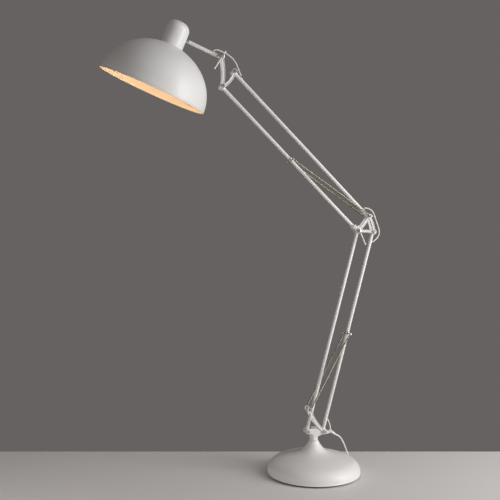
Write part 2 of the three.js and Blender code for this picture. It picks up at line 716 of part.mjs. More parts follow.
// A thin glass bulb, open at the top of its neck.
function bulb() {
  const neckRadius = 13;
  const neckTop = -63;
  const neckLow = -95;
  const globeRadius = 30;
  const globeCentre = -128;
  const wall = 1;
  const steps = 6;
  const outside = [
    [neckRadius, neckTop],
    [neckRadius, neckLow],
  ];
  const inside = outside.map(([radius, height]) => [radius - wall, height]);
  for (let i = 0; i <= steps; i += 1) {
    const angle = Math.PI * (0.32 - 0.82 * (i / steps));
    const across = i === steps ? 0 : Math.cos(angle);
    outside.push([globeRadius * across, globeCentre + globeRadius * Math.sin(angle)]);
    const inner = globeRadius - wall;
    inside.push([inner * across, globeCentre + inner * Math.sin(angle)]);
  }
  const profile = [...inside, ...outside.reverse(), inside[0]];
  return turned(profile, 20);
}

function makeShade() {
  add("head_knuckle", headKnuckle(), STEEL);
  add("shade_arm_tube", shadeArmTube(), WHITE_PAINT);
  const collar = cut(
    rod(at(alongShadeArm(CAP_FACE - 8)), at(alongShadeArm(CAP_FACE - 0.6)), SHADE_ARM_RADIUS + 1.6, 16),
    rod(at(alongShadeArm(CAP_FACE - 20)), at(alongShadeArm(CAP_FACE + 10)), SHADE_ARM_RADIUS + GAP, 16),
  );
  add("shade_collar", collar, STEEL);
  const frame = shadeFrame();
  lamp.add(frame);
  add("shade_dome", shadeDome(), WHITE_PAINT, frame);
  add("shade_cap", shadeCap(), WHITE_PAINT, frame);
  add("lamp_socket", lampSocket(), BAKELITE, frame);
  add("bulb", bulb(), LAMP_GLASS, frame);
}

// ---------------------------------------------------------------- cord inside the lamp

function tubeCord(pivot, direction, from, to) {
  const start = pivot.clone().addScaledVector(direction, from);
  const end = pivot.clone().addScaledVector(direction, to);
  return rod(at(start), at(end), CORD_RADIUS, 8);
}

function inPlane(points) {
  return points.map(([x, z]) => new THREE.Vector3(x, 0, z));
}

function makeInnerCord() {
  const lower = tubeCord(LOWER_REAR_PIVOT, LOWER_DIRECTION, LOWER_EXIT_LOW, LOWER_EXIT_HIGH);
  add("lower_tube_cord", lower, WHITE_CORD);
  const upper = tubeCord(ELBOW_TOP, UPPER_DIRECTION, UPPER_EXIT_LOW, UPPER_EXIT_HIGH);
  add("upper_tube_cord", upper, WHITE_CORD);
  const shade = tubeCord(HEAD_TILT, SHADE_ARM_DIRECTION, 29, SHADE_AXIS_REACH - 24);
  add("shade_arm_cord", shade, WHITE_CORD);

  const headLoop = [
    [-332.6, 1350.4],
    [-322, 1354.5],
    [-306, 1350.5],
    [-291, 1344.5],
    [-275, 1334.5],
    [-260.5, 1318],
    [-251, 1296.5],
    [-242.4, 1277.2],
  ];
  add("head_cord_loop", cordAlong(inPlane(headLoop), CORD_RADIUS, 8, 22), WHITE_CORD);

  const elbowLoop = [
    [180.2, 865.2],
    [195, 863.5],
    [211.5, 852],
    [220.5, 829],
    [231.5, 799],
    [234, 782],
    [226.5, 766],
    [211, 752.5],
  ];
  add("elbow_cord_loop", cordAlong(inPlane(elbowLoop), CORD_RADIUS, 8, 24), WHITE_CORD);

  const baseLink = [
    [49.6, 171],
    [54, 160],
    [57.5, 149],
    [58.5, 138.6],
  ];
  add("base_cord_link", cordAlong(inPlane(baseLink), CORD_RADIUS, 8, 6), WHITE_CORD);
}

// ---------------------------------------------------------------- mains lead

// The lead lies behind the lamp, so its places are given as a sideways distance along VIEW_SIDE
// and a distance back along VIEW_BACK, with a height.
const VIEW_SIDE = new THREE.Vector3(0.9675, -0.2528, 0);
const VIEW_BACK = new THREE.Vector3(0.2528, 0.9675, 0);

function behind(side, back, height) {
  const place = VIEW_SIDE.clone().multiplyScalar(side).addScaledVector(VIEW_BACK, back);
  return place.setZ(height);
}

// Moves a geometry from a frame of side, back and height into the lamp's frame.
function placedBehind(geometry, side, back) {
  const turn = new THREE.Matrix4().makeBasis(VIEW_SIDE, VIEW_BACK, new THREE.Vector3(0, 0, 1));
  return geometry.translate(side, back, 0).applyMatrix4(turn);
}

const LEAD_ROUTE = [
  [61.6, 16.1, 128.9],
  [67.3, 19.1, 124.8],
  [74.9, 27, 118],
  [85, 39, 110.6],
  [94.2, 48, 101.4],
  [103.9, 62, 85],
  [110, 70, 72],
  [114.8, 78, 60],
  [121.5, 88, 42],
  [128.2, 95.2, 23.5],
  [132.2, 101.4, 13.4],
  [135.1, 108.9, 6.6],
  [136.2, 117.8, 3.4],
  [135, 129, 2.8],
  [129.5, 149, 2.8],
  [122.5, 170, 2.8],
  [114.5, 188, 2.8],
  [103, 204, 2.8],
  [88, 214, 2.8],
  [73, 217.5, 2.8],
  [62, 217.5, 2.8],
  [35, 217.5, 2.8],
  [4, 217.5, 2.8],
];
const SWITCH_SIDE = 42;
const SWITCH_BACK = 217.5;
const COIL_SIDE = -22;
const COIL_BACK = 190;
const TAIL_BACK = COIL_BACK - COIL_RADIUS;
const TAIL_FROM = COIL_SIDE + 26.5;
const PLUG_RELIEF_FROM = 30;
const PLUG_FROM = 50;

function leadCoil() {
  const steps = 8;
  const profile = [];
  for (let i = 0; i <= steps; i += 1) {
    const angle = (2 * Math.PI * i) / steps;
    profile.push([COIL_RADIUS + COIL_HALF * Math.cos(angle), COIL_HALF * (1.07 + Math.sin(angle))]);
  }
  return placedBehind(turned(profile, 28), COIL_SIDE, COIL_BACK);
}

function switchBody() {
  const shape = new THREE.Shape();
  const half = SWITCH_LENGTH / 2;
  const wide = SWITCH_WIDTH / 2;
  shape.moveTo(-half, -wide * 0.5);
  shape.quadraticCurveTo(-half * 0.6, -wide, 0, -wide);
  shape.quadraticCurveTo(half * 0.6, -wide, half, -wide * 0.5);
  shape.lineTo(half, wide * 0.5);
  shape.quadraticCurveTo(half * 0.6, wide, 0, wide);
  shape.quadraticCurveTo(-half * 0.6, wide, -half, wide * 0.5);
  const options = { depth: SWITCH_HEIGHT - 3, bevelEnabled: false, curveSegments: 6 };
  const body = new THREE.ExtrudeGeometry(shape, options).translate(0, 0, GAP);
  const channel = box(-half - 1, half + 1, -MAINS_RADIUS - GAP, MAINS_RADIUS + GAP, -1, 2 * MAINS_RADIUS + 1);
  const well = new THREE.CylinderGeometry(7.5, 7.5, 10, 20).rotateX(Math.PI / 2).translate(0, 0, SWITCH_HEIGHT - 4);
  return placedBehind(cut(body, channel, well), SWITCH_SIDE, SWITCH_BACK);
}

function mainsPlug() {
  const outline = new THREE.Shape();
  const half = PLUG_WIDTH / 2;
  outline.moveTo(0, -6);
  outline.quadraticCurveTo(8, -half, 16, -half);
  outline.lineTo(PLUG_LENGTH, -half);
  outline.lineTo(PLUG_LENGTH, half);
  outline.lineTo(16, half);
  outline.quadraticCurveTo(8, half, 0, 6);
  const options = { depth: PLUG_HEIGHT, bevelEnabled: false, curveSegments: 6 };
  const body = new THREE.ExtrudeGeometry(outline, options).translate(0, 0, GAP);
  const reliefLength = PLUG_FROM - PLUG_RELIEF_FROM;
  const relief = new THREE.CylinderGeometry(5, 3, reliefLength, 14).rotateZ(-Math.PI / 2);
  relief.translate(0.5 - reliefLength / 2, 0, PLUG_HEIGHT / 2);
  const pins = [-1, 1].map((side) => {
    const pin = new THREE.CylinderGeometry(2, 2, 20, 12).rotateZ(-Math.PI / 2);
    return pin.translate(PLUG_LENGTH + 9, (side * PIN_SPACING) / 2, PLUG_HEIGHT / 2);
  });
  return placedBehind(join(body, relief, ...pins), PLUG_FROM, TAIL_BACK);
}

function makeMains() {
  const route = LEAD_ROUTE.map(([side, back, height]) => behind(side, back, height));
  add("mains_cord", cordAlong(route, MAINS_RADIUS, 8, 56), WHITE_CORD);
  add("mains_coil", leadCoil(), WHITE_CORD);
  const tail = [
    behind(TAIL_FROM, TAIL_BACK, 4),
    behind(TAIL_FROM + 8, TAIL_BACK, 4.4),
    behind(PLUG_RELIEF_FROM - 8, TAIL_BACK, 6.2),
    behind(PLUG_RELIEF_FROM - GAP, TAIL_BACK, 7),
  ];
  add("mains_tail", cordAlong(tail, MAINS_RADIUS, 8, 5), WHITE_CORD);
  add("line_switch", switchBody(), NYLON);
  const button = new THREE.CylinderGeometry(7, 7, 7, 20).rotateX(Math.PI / 2);
  button.translate(0, 0, SWITCH_HEIGHT - 2.5);
  add("switch_button", placedBehind(button, SWITCH_SIDE, SWITCH_BACK), NYLON);
  add("mains_plug", mainsPlug(), NYLON);
}

makeBase();
makeBracket();
makeArms();
makeSprings();
makeElbow();
makeHead();
makeShade();
makeInnerCord();
makeMains();

export default lamp;
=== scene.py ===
import json
import math
import bmesh
import bpy
from mathutils import Matrix, Vector


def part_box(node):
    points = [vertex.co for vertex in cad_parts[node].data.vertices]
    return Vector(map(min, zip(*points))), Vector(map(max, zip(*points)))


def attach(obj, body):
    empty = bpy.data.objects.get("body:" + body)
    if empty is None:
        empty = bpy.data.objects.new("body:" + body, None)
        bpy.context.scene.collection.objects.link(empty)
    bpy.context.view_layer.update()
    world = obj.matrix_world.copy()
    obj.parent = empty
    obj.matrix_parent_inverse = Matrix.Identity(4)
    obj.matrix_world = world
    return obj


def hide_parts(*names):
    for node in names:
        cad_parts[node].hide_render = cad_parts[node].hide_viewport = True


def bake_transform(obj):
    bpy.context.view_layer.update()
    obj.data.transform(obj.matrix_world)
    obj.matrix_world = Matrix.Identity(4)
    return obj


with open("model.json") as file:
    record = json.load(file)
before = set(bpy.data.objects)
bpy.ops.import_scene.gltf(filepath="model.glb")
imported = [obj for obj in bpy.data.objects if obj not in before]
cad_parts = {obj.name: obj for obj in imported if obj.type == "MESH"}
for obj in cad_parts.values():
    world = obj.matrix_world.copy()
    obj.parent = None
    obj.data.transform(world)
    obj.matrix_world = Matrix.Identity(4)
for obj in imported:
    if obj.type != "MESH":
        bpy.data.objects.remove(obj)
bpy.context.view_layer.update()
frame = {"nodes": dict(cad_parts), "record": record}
RECORD = frame["record"]

# The script works in millimetres and build() turns them into metres.
MM = 0.001

# ---- places, from the frame

JOINTS = {joint["name"]: joint for joint in RECORD["behaviour"]["joints"]}


def pivot(joint):
    """A joint's place, in millimetres."""
    return Vector(JOINTS[joint]["pos_m"]) / MM


def middle(node):
    """The middle of a CAD node's box, in millimetres."""
    low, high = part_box(node)
    return (low + high) / 2 / MM


LOWER_FRONT_PIVOT = pivot("lower_front_link")
LOWER_REAR_PIVOT = pivot("lower_arm_tilt")
SPRING_ANCHOR = pivot("lower_spring_swing")
ELBOW_FRONT = pivot("upper_lower_link")
ELBOW_REAR = pivot("elbow_level")
ELBOW_TOP = pivot("upper_arm_tilt")
HEAD_REAR = pivot("head_level")
HEAD_TILT = pivot("head_tilt")
HEAD_LOW = HEAD_REAR - (ELBOW_TOP - ELBOW_FRONT)
LOWER_DIRECTION = (ELBOW_REAR - LOWER_REAR_PIVOT).normalized()
UPPER_DIRECTION = (HEAD_REAR - ELBOW_TOP).normalized()
LOWER_COLLAR = middle("lower_spring_collar")
UPPER_COLLAR = middle("upper_spring_collar")

SHADE_ARM_DIRECTION = Vector(JOINTS["shade_swivel"]["axis"]).normalized()
SHADE_AXIS_REACH = 157.7
SHADE_TURN = math.radians(-11.2)

TUBE_RADIUS = 5.5
BUSH_RADIUS = 7.5
BUSH_HALF = 10.7
CHEEK_INSIDE = 11
CHEEK_OUTSIDE = 14
SPRING_ARM_OUTSIDE = 17.3
BAR_WIDTH = 9
EYE_RADIUS = 8.5
SPRING_Y = 22
STUD_END = 27.5
CORD_RADIUS = 2
MAINS_RADIUS = 2.5

NEAR = Vector((0, -1, 0))
FAR = Vector((0, 1, 0))
UP = Vector((0, 0, 1))

# ---- mesh helpers


def build(name, verts, faces, creases=40):
    """A smooth-shaded mesh object from millimetre vertices, with edges sharper than `creases` kept sharp."""
    mesh = bpy.data.meshes.new(name)
    mesh.from_pydata([tuple(Vector(v) * MM) for v in verts], [], faces)
    return wrap(name, mesh, creases)


def wrap(name, mesh, creases=40):
    """An object of the mesh, with its normals out and its sharp edges marked."""
    bm = bmesh.new()
    bm.from_mesh(mesh)
    bmesh.ops.remove_doubles(bm, verts=bm.verts, dist=1e-7)
    bmesh.ops.recalc_face_normals(bm, faces=bm.faces)
    for face in bm.faces:
        face.smooth = True
    for edge in bm.edges:
        if len(edge.link_faces) == 2:
            edge.smooth = edge.calc_face_angle() < math.radians(creases)
    bm.to_mesh(mesh)
    bm.free()
    obj = bpy.data.objects.new(name, mesh)
    bpy.context.scene.collection.objects.link(obj)
    return obj


def placed(origin, axis, across=None):
    """A matrix that takes +Z to `axis` and the origin to `origin`, in millimetres."""
    z = Vector(axis).normalized()
    guess = Vector(across) if across else (Vector((1, 0, 0)) if abs(z.x) < 0.9 else UP)
    x = (guess - z * guess.dot(z)).normalized()
    y = z.cross(x)
    matrix = Matrix((x, y, z)).transposed().to_4x4()
    matrix.translation = Vector(origin)
    return matrix


def rounded(points, radius, steps=4):
    """The polyline with each inner corner rounded."""
    points = [Vector(p) for p in points]
    out = [points[0]]
    for before, corner, after in zip(points, points[1:], points[2:]):
        back, ahead = before - corner, after - corner
        reach = min(radius, back.length * 0.45, ahead.length * 0.45)
        start = corner + back.normalized() * reach
        end = corner + ahead.normalized() * reach
        for i in range(steps + 1):
            t = i / steps
            out.append(start * (1 - t) ** 2 + corner * 2 * t * (1 - t) + end * t * t)
    out.append(points[-1])
    return out


def lathe_data(profile, segments, matrix):
    """Vertices and faces of a body turned about +Z, then moved by `matrix`."""
    verts, rings = [], []
    for radius, height in profile:
        if radius < 1e-6:
            rings.append([len(verts)])
            verts.append(matrix @ Vector((0, 0, height)))
            continue
        rings.append(list(range(len(verts), len(verts) + segments)))
        for k in range(segments):
            angle = 2 * math.pi * k / segments
            verts.append(matrix @ Vector((radius * math.cos(angle), radius * math.sin(angle), height)))
    faces = []
    for low, high in zip(rings, rings[1:]):
        for k in range(segments):
            n = (k + 1) % segments
            if len(low) == 1 and len(high) == 1:
                continue
            if len(low) == 1:
                faces.append((low[0], high[n], high[k]))
            elif len(high) == 1:
                faces.append((low[k], low[n], high[0]))
            else:
                faces.append((low[k], low[n], high[n], high[k]))
    return verts, faces


def lathe(name, profile, matrix=Matrix.Identity(4), segments=64, creases=40):
    """A body turned from an outline of radius and height."""
    return build(name, *lathe_data(profile, segments, matrix), creases)


def rod(name, start, end, radius, chamfer=0.6, segments=40):
    """A solid round bar with softened ends."""
    length = (Vector(end) - Vector(start)).length
    profile = rounded([(0, 0), (radius, 0), (radius, length), (0, length)], chamfer, 3)
    return lathe(name, profile, placed(start, Vector(end) - Vector(start)), segments, 60)


def hollow(name, start, end, outer, inner, chamfer=0.5, segments=48):
    """A tube with softened ends."""
    length = (Vector(end) - Vector(start)).length
    corners = [(inner, length / 2), (inner, 0), (outer, 0), (outer, length), (inner, length), (inner, length / 2)]
    profile = rounded(corners, chamfer, 3)
    return lathe(name, profile, placed(start, Vector(end) - Vector(start)), segments, 60)


def across(name, point, y_from, y_to, radius, bore=0.0, chamfer=0.6, segments=40):
    """A round piece across the arm plane, round a pivot, solid or with a bore."""
    start, end = Vector((point.x, y_from, point.z)), Vector((point.x, y_to, point.z))
    if bore:
        return hollow(name, start, end, radius, bore, chamfer, segments)
    return rod(name, start, end, radius, chamfer, segments)


def hexagon(name, start, axis, width, height):
    """A hexagonal nut body with chamfered corners."""
    matrix = placed(start, axis)
    corner = width / 2 / math.cos(math.pi / 6)
    levels = [(0.0, 0.0), (0.9, 0.0), (1.0, 0.12), (1.0, 0.88), (0.9, 1.0), (0.0, 1.0)]
    verts, faces = lathe_data([(corner * r, height * h) for r, h in levels], 6, matrix)
    return build(name, verts, faces, 20)


def frames_along(points):
    """A sideways pair of unit vectors at each point of a path, without twist."""
    last = len(points) - 1
    tangents = [(points[min(i + 1, last)] - points[max(i - 1, 0)]).normalized() for i in range(last + 1)]
    side = tangents[0].orthogonal().normalized()
    out = []
    for tangent in tangents:
        side = (side - tangent * side.dot(tangent)).normalized()
        out.append((side, tangent.cross(side)))
    return out


def skin(count, sides, looped=False):
    """Faces of a body whose vertices come as `count` rings of `sides`: capped, or with its last ring on its first."""
    faces = []
    for i in range(count if looped else count - 1):
        above = (i + 1) % count
        for k in range(sides):
            n = (k + 1) % sides
            faces.append((i * sides + k, i * sides + n, above * sides + n, above * sides + k))
    if not looped:
        faces += [tuple(range(sides)), tuple(range((count - 1) * sides, count * sides))]
    return faces


def squared_ring(power, around):
    """Points round a squared circle that reaches 1 each way."""
    points = []
    for k in range(around):
        angle = 2 * math.pi * k / around
        c, s = math.cos(angle), math.sin(angle)
        stretch = 1 / (abs(c) ** power + abs(s) ** power) ** (1 / power)
        points.append((c * stretch, s * stretch))
    return points


def sweep(name, points, radius, sides=16, creases=60):
    """A round solid along a path, with flat ends. `radius` is a number or a function of the share of the path."""
    size = radius if callable(radius) else (lambda share: radius)
    verts = []
    for i, (point, (u, v)) in enumerate(zip(points, frames_along(points))):
        for k in range(sides):
            angle = 2 * math.pi * k / sides
            verts.append(point + (u * math.cos(angle) + v * math.sin(angle)) * size(i / (len(points) - 1)))
    return build(name, verts, skin(len(points), sides), creases)


def smooth_path(points, spacing):
    """Points about `spacing` apart on a centripetal spline through the given ones."""
    padded = [points[0] * 2 - points[1], *points, points[-1] * 2 - points[-2]]
    out = []
    for a, b, c, d in zip(padded, padded[1:], padded[2:], padded[3:]):
        legs = ((a, b), (b, c), (c, d))
        knots = [0.0]
        for p, q in legs:
            knots.append(knots[-1] + max((q - p).length, 1e-6) ** 0.5)
        steps = max(2, round((c - b).length / spacing))
        for i in range(steps):
            t = knots[1] + (knots[2] - knots[1]) * i / steps
            first = [mixed(p, q, knots[k], knots[k + 1], t) for k, (p, q) in enumerate(legs)]
            second = [mixed(first[k], first[k + 1], knots[k], knots[k + 2], t) for k in range(2)]
            out.append(mixed(second[0], second[1], knots[1], knots[2], t))
    out.append(points[-1])
    return out


def mixed(p, q, start, end, t):
    return p * ((end - t) / (end - start)) + q * ((t - start) / (end - start))


def join(name, *objects):
    """One object made of several, as separate closed shells."""
    bm = bmesh.new()
    for obj in objects:
        bm.from_mesh(obj.data)
        bpy.data.objects.remove(obj)
    mesh = bpy.data.meshes.new(name)
    bm.to_mesh(mesh)
    bm.free()
    obj = bpy.data.objects.new(name, mesh)
    bpy.context.scene.collection.objects.link(obj)
    return obj


def sideways(direction):
    """The direction at a right angle to one in the arm plane, in that plane."""
    return Vector((direction.z, 0, -direction.x))


def baked(obj, creases=40):
    """The object with its modifiers applied."""
    graph = bpy.context.evaluated_depsgraph_get()
    mesh = bpy.data.meshes.new_from_object(obj.evaluated_get(graph))
    name = obj.name
    bpy.data.objects.remove(obj)
    mesh.name = name
    return wrap(name, mesh, creases)


def carve(obj, cutters, operation="DIFFERENCE", creases=40):
    """Joins or cuts an object with others, which are used up."""
    for cutter in cutters:
        modifier = obj.modifiers.new("cut", "BOOLEAN")
        modifier.operation = operation
        modifier.solver = "EXACT"
        modifier.object = cutter
    done = baked(obj, creases)
    for cutter in cutters:
        bpy.data.objects.remove(cutter)
    return done


def cast(obj, voxel, smoothing):
    """Rounds every edge of a casting as a mould does. `voxel` is in mm."""
    remesh = obj.modifiers.new("cast", "REMESH")
    remesh.mode = "VOXEL"
    remesh.voxel_size = voxel * MM
    smooth = obj.modifiers.new("soft", "SMOOTH")
    smooth.factor = 0.6
    smooth.iterations = smoothing
    return baked(obj, 75)


def finish_piece(obj, material, body, slot, *nodes):
    """Gives a piece its material and its body, and hides the CAD nodes it stands for. `slot` is not used."""
    obj.data.materials.clear()
    obj.data.materials.append(material)
    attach(obj, body)
    if nodes:
        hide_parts(*nodes)
    return obj


# ---- materials


GLOSS_SPREAD = 0.05


def surface(name, color, tint, roughness, metallic=0.0, mottle=14, grain=900, depth=0.02, **sockets):
    """A material with two drifting tones, a varying gloss and a grain raised by `depth` mm."""
    material = bpy.data.materials.new(name)
    material.use_nodes = True
    tree = material.node_tree
    shader = tree.nodes["Principled BSDF"]
    shader.inputs["Metallic"].default_value = metallic
    for socket, value in sockets.items():
        shader.inputs[socket.replace("_", " ")].default_value = value
    place = tree.nodes.new("ShaderNodeTexCoord")

    def noise(scale, detail):
        node = tree.nodes.new("ShaderNodeTexNoise")
        node.inputs["Scale"].default_value = scale
        node.inputs["Detail"].default_value = detail
        tree.links.new(place.outputs["Object"], node.inputs["Vector"])
        return node.outputs["Fac"]

    blend = tree.nodes.new("ShaderNodeMix")
    blend.data_type = "RGBA"
    blend.inputs[6].default_value = (*color, 1)
    blend.inputs[7].default_value = (*tint, 1)
    tree.links.new(noise(mottle, 5), blend.inputs[0])
    tree.links.new(blend.outputs[2], shader.inputs["Base Color"])
    gloss = tree.nodes.new("ShaderNodeMapRange")
    gloss.inputs["From Min"].default_value = 0.3
    gloss.inputs["From Max"].default_value = 0.7
    gloss.inputs["To Min"].default_value = roughness - GLOSS_SPREAD
    gloss.inputs["To Max"].default_value = roughness + GLOSS_SPREAD
    tree.links.new(noise(mottle * 4, 4), gloss.inputs["Value"])
    tree.links.new(gloss.outputs["Result"], shader.inputs["Roughness"])
    bump = tree.nodes.new("ShaderNodeBump")
    bump.inputs["Strength"].default_value = 0.6
    bump.inputs["Distance"].default_value = depth * MM
    tree.links.new(noise(grain, 3), bump.inputs["Height"])
    tree.links.new(bump.outputs["Normal"], shader.inputs["Normal"])
    return material


ENAMEL = surface(
    "white_enamel", (0.80, 0.785, 0.765), (0.77, 0.76, 0.745), 0.42, grain=420, depth=0.005, Coat_Weight=0.08
)
SHADE_OUT = surface(
    "shade_enamel", (0.79, 0.78, 0.765), (0.76, 0.75, 0.74), 0.42, grain=420, depth=0.008, Coat_Weight=0.1
)
# The lining is the white enamel painted lighter and warmer than the outside: a painted warm glow of the bulb's light.
SHADE_LINING_PAINTED_GLOW = surface("shade_lining_painted_glow", (0.86, 0.80, 0.70), (0.84, 0.77, 0.66), 0.5, grain=620)
BRACKET = surface("bracket_powder_coat", (0.76, 0.75, 0.735), (0.72, 0.71, 0.695), 0.42, grain=700, depth=0.015)
ZINC = surface("zinc_plate", (0.66, 0.65, 0.62), (0.52, 0.51, 0.48), 0.33, 1.0, mottle=160, grain=2200, depth=0.008)
# Plated steel wire tinted warm beige and brown: a painted reflection of the surroundings on grey plated steel.
SPRING_PAINTED_REFLECTION = surface("spring_wire", (0.50, 0.46, 0.37), (0.36, 0.32, 0.25), 0.36, 1.0, mottle=120, grain=2600, depth=0.01)
IRON = surface("cast_iron", (0.09, 0.09, 0.095), (0.14, 0.12, 0.11), 0.8, 0.6, mottle=60, grain=500, depth=0.25)
FOAM = surface("pad_rubber", (0.025, 0.025, 0.026), (0.04, 0.04, 0.04), 0.85, mottle=90, grain=1500, depth=0.12)
NYLON = surface("white_nylon", (0.82, 0.81, 0.78), (0.79, 0.78, 0.74), 0.48, mottle=50, grain=1800, depth=0.02)
FLEX = surface("white_flex", (0.80, 0.79, 0.76), (0.75, 0.74, 0.70), 0.5, mottle=70, grain=1500, depth=0.03)
PHENOLIC = surface("lampholder_phenolic", (0.05, 0.045, 0.04), (0.09, 0.075, 0.06), 0.45, mottle=420, grain=1200)
STEEL_PLATE = surface("bare_steel", (0.5, 0.5, 0.5), (0.4, 0.39, 0.38), 0.45, 1.0, mottle=40, grain=1400)
BRASS = surface("plug_brass", (0.78, 0.62, 0.36), (0.66, 0.5, 0.28), 0.28, 1.0, mottle=200, grain=2400, depth=0.008)
OPAL = surface("opal_glass", (1.0, 0.93, 0.82), (1.0, 0.90, 0.78), 0.2, mottle=30, grain=400, depth=0.005)
FLOOR = surface("floor", (0.80, 0.785, 0.77), (0.785, 0.77, 0.755), 0.6, mottle=3, grain=300)
BULB_GLOW = OPAL.node_tree.nodes["Principled BSDF"]
BULB_GLOW.inputs["Emission Color"].default_value = (1.0, 0.62, 0.30, 1)
BULB_GLOW.inputs["Emission Strength"].default_value = 16.0


# ---- camera and light

CAMERA_PLACE = Vector((-751.6, -2059.3, 704.8)) * MM
CAMERA_AIM = Vector((0.2528, 0.9675, 0.0091))
LENS = 48.16


def make_camera():
    data = bpy.data.cameras.new("camera")
    data.lens = LENS
    data.sensor_width = 36
    camera = bpy.data.objects.new("camera", data)
    camera.location = CAMERA_PLACE
    camera.rotation_euler = CAMERA_AIM.to_track_quat("-Z", "Y").to_euler()
    bpy.context.scene.collection.objects.link(camera)
    bpy.context.scene.camera = camera


def softbox(name, place, target, size, power):
    data = bpy.data.lights.new(name, "AREA")
    data.shape = "RECTANGLE"
    data.size, data.size_y = size
    data.energy = power
    light = bpy.data.objects.new(name, data)
    light.location = place
    light.rotation_euler = (Vector(target) - Vector(place)).to_track_quat("-Z", "Y").to_euler()
    bpy.context.scene.collection.objects.link(light)


# The view's own directions on the floor: to the right of the picture, and away from the camera.
VIEW_SIDE = Vector((0.9675, -0.2528, 0))
VIEW_BACK = Vector((0.2528, 0.9675, 0))


def behind(side, back, height):
    """A point given by how far right, how far back and how high it lies, in millimetres."""
    return VIEW_SIDE * side + VIEW_BACK * back + UP * height


FLOOR_HALF = 2600
FLOOR_NEAR = -3200
FLOOR_FAR = 236
BACKDROP = (0.132, 0.122, 0.119, 1)
# Each light's place as side, back and height in mm, the point it faces and its size in metres, and its watts.
LIGHTS = {
    "key": ((2100, -900, 1000), (-0.1, 0, 0.8), (1.2, 2.0), 50),
    "fill": ((-600, -2400, 1300), (0, 0, 0.5), (1.8, 1.8), 4.5),
    "top": ((1700, -500, 2300), (0, 0, 0.7), (1.2, 1.2), 10),
    "low": ((-1100, -900, 260), (-0.05, 0, -0.1), (0.9, 0.3), 2.2),
}


def make_stage():
    corners = [(-FLOOR_HALF, FLOOR_NEAR), (FLOOR_HALF, FLOOR_NEAR), (FLOOR_HALF, FLOOR_FAR), (-FLOOR_HALF, FLOOR_FAR)]
    floor = build("floor", [behind(side, back, 0) for side, back in corners], [(0, 1, 2, 3)])
    floor.data.materials.append(FLOOR)
    world = bpy.data.worlds.new("world")
    bpy.context.scene.world = world
    world.use_nodes = True
    world.node_tree.nodes["Background"].inputs["Color"].default_value = BACKDROP
    for name, (place, target, size, power) in LIGHTS.items():
        softbox(name, behind(*place) * MM, target, size, power)


# ---- base

COVER_OUTLINE = [(16, 105), (21, 95.4), (39, 75), (62, 65.5), (100, 55.5), (133, 41.5), (147.5, 24), (150, 8.5)]
COVER_LIP = [(150.6, 7.4), (150.9, 6.4), (150.5, 5.4), (149.4, 5.0), (148.2, 5.2), (147.5, 6.2), (147.2, 8)]
COVER_WALL = 2.4
COVER_TOP = 105
STEM_BORE = 6.4
NECK_CLEAR = 9
PAD_OUTLINE = [(0, 5), (143, 5), (143, 0.05), (136, 0.05), (135, 0.8), (132, 0.8), (131, 0.05), (0, 0.05)]


def make_base():
    outside = smooth_path([Vector(p) for p in COVER_OUTLINE], 3)
    inside = []
    for before, point, after in zip(outside, outside[1:], outside[2:]):
        along = (after - before).normalized()
        inner = point + Vector((along.y, -along.x)) * COVER_WALL
        if inner.x > NECK_CLEAR:
            inside.append(inner)
    top = [
        (STEM_BORE, inside[0].y + 1), (STEM_BORE, COVER_TOP - 0.4), (STEM_BORE + 0.5, COVER_TOP), (15.4, COVER_TOP),
    ]
    profile = [*top, *outside, *COVER_LIP, *reversed(inside), top[0]]
    finish_piece(lathe("base_cover_shell", profile, segments=160), ENAMEL, "base", "white_paint", "base_cover")
    pad = lathe("base_foot_pad", rounded(PAD_OUTLINE, 0.8), segments=128)
    finish_piece(pad, FOAM, "base", "base_felt", "base_pad")
    washer = hollow("neck_washer", (0, 0, COVER_TOP + 0.1), (0, 0, COVER_TOP + 1.7), 15.2, STEM_BORE, 0.3, 64)
    finish_piece(washer, NYLON, "base", "nylon", "swivel_washer")
    recolour(IRON, "base_weight")
    recolour(STEEL_PLATE, "base_plate")
    recolour(ZINC, "stem_pin")


def recolour(material, *nodes):
    """Hidden CAD pieces keep their shapes and take a finished material."""
    for obj in [frame["nodes"][node] for node in nodes]:
        if not obj.material_slots:
            obj.data.materials.append(material)
        for slot in obj.material_slots:
            slot.material = material


# ---- bolts, studs and bars


WASHER = [(3.1, 0.05), (5.9, 0.05), (6.1, 0.25), (6.1, 0.75), (5.9, 0.95), (3.1, 0.95), (3.1, 0.05)]
SCREW_HEAD = [(0, 2.2), (2.1, 2.2), (2.3, 4.3), (4.4, 4.3), (5.2, 3.6), (5.4, 1.0), (5.2, 0.8), (0, 0.8)]
SCREW_STUB = [(0, 3.9), (2.9, 3.9), (2.9, 4.9), (2.3, 5.4), (0, 5.4)]
SCREW_RADIUS = 3
NUT_WIDTH = 9.4
NUT_HEIGHT = 3.4


def bolt(name, point, half, body, node, headed=True):
    """A cap screw with a washer and a nut on the far side, and its head and washer on the near side."""
    far_face = Vector((point.x, half, point.z))
    near = placed((point.x, -half, point.z), NEAR)
    parts = [
        across(name + "_shank", point, 0.2 - half, half - 0.2, SCREW_RADIUS, segments=24),
        lathe(name + "_far_washer", WASHER, placed(far_face, FAR), 32),
        hexagon(name + "_nut", far_face + FAR * 0.9, FAR, NUT_WIDTH, NUT_HEIGHT),
        lathe(name + "_stub", SCREW_STUB, placed(far_face, FAR), 24),
    ]
    if headed:
        parts.append(lathe(name + "_near_washer", WASHER, near, 32))
        parts.append(lathe(name + "_head", SCREW_HEAD, near, 32))
    return finish_piece(join(name, *parts), ZINC, body, "zinc_steel", node)


def stud(name, point, side, root):
    """A grooved spring stud with a mushroom head, from `root` mm off the arm plane. `side` is -1 near and 1 far."""
    length = STUD_END + 1.5 - root
    neck, groove, head = length - 8, length - 3, length - 1.6
    corners = [(0, 0), (2.5, 0), (2.5, neck), (2.0, neck + 1), (2.0, groove), (4.0, head), (4.0, length), (0, length)]
    return lathe(name, rounded(corners, 0.5), placed((point.x, side * root, point.z), FAR * side), 32)


BAR_STEPS = 20


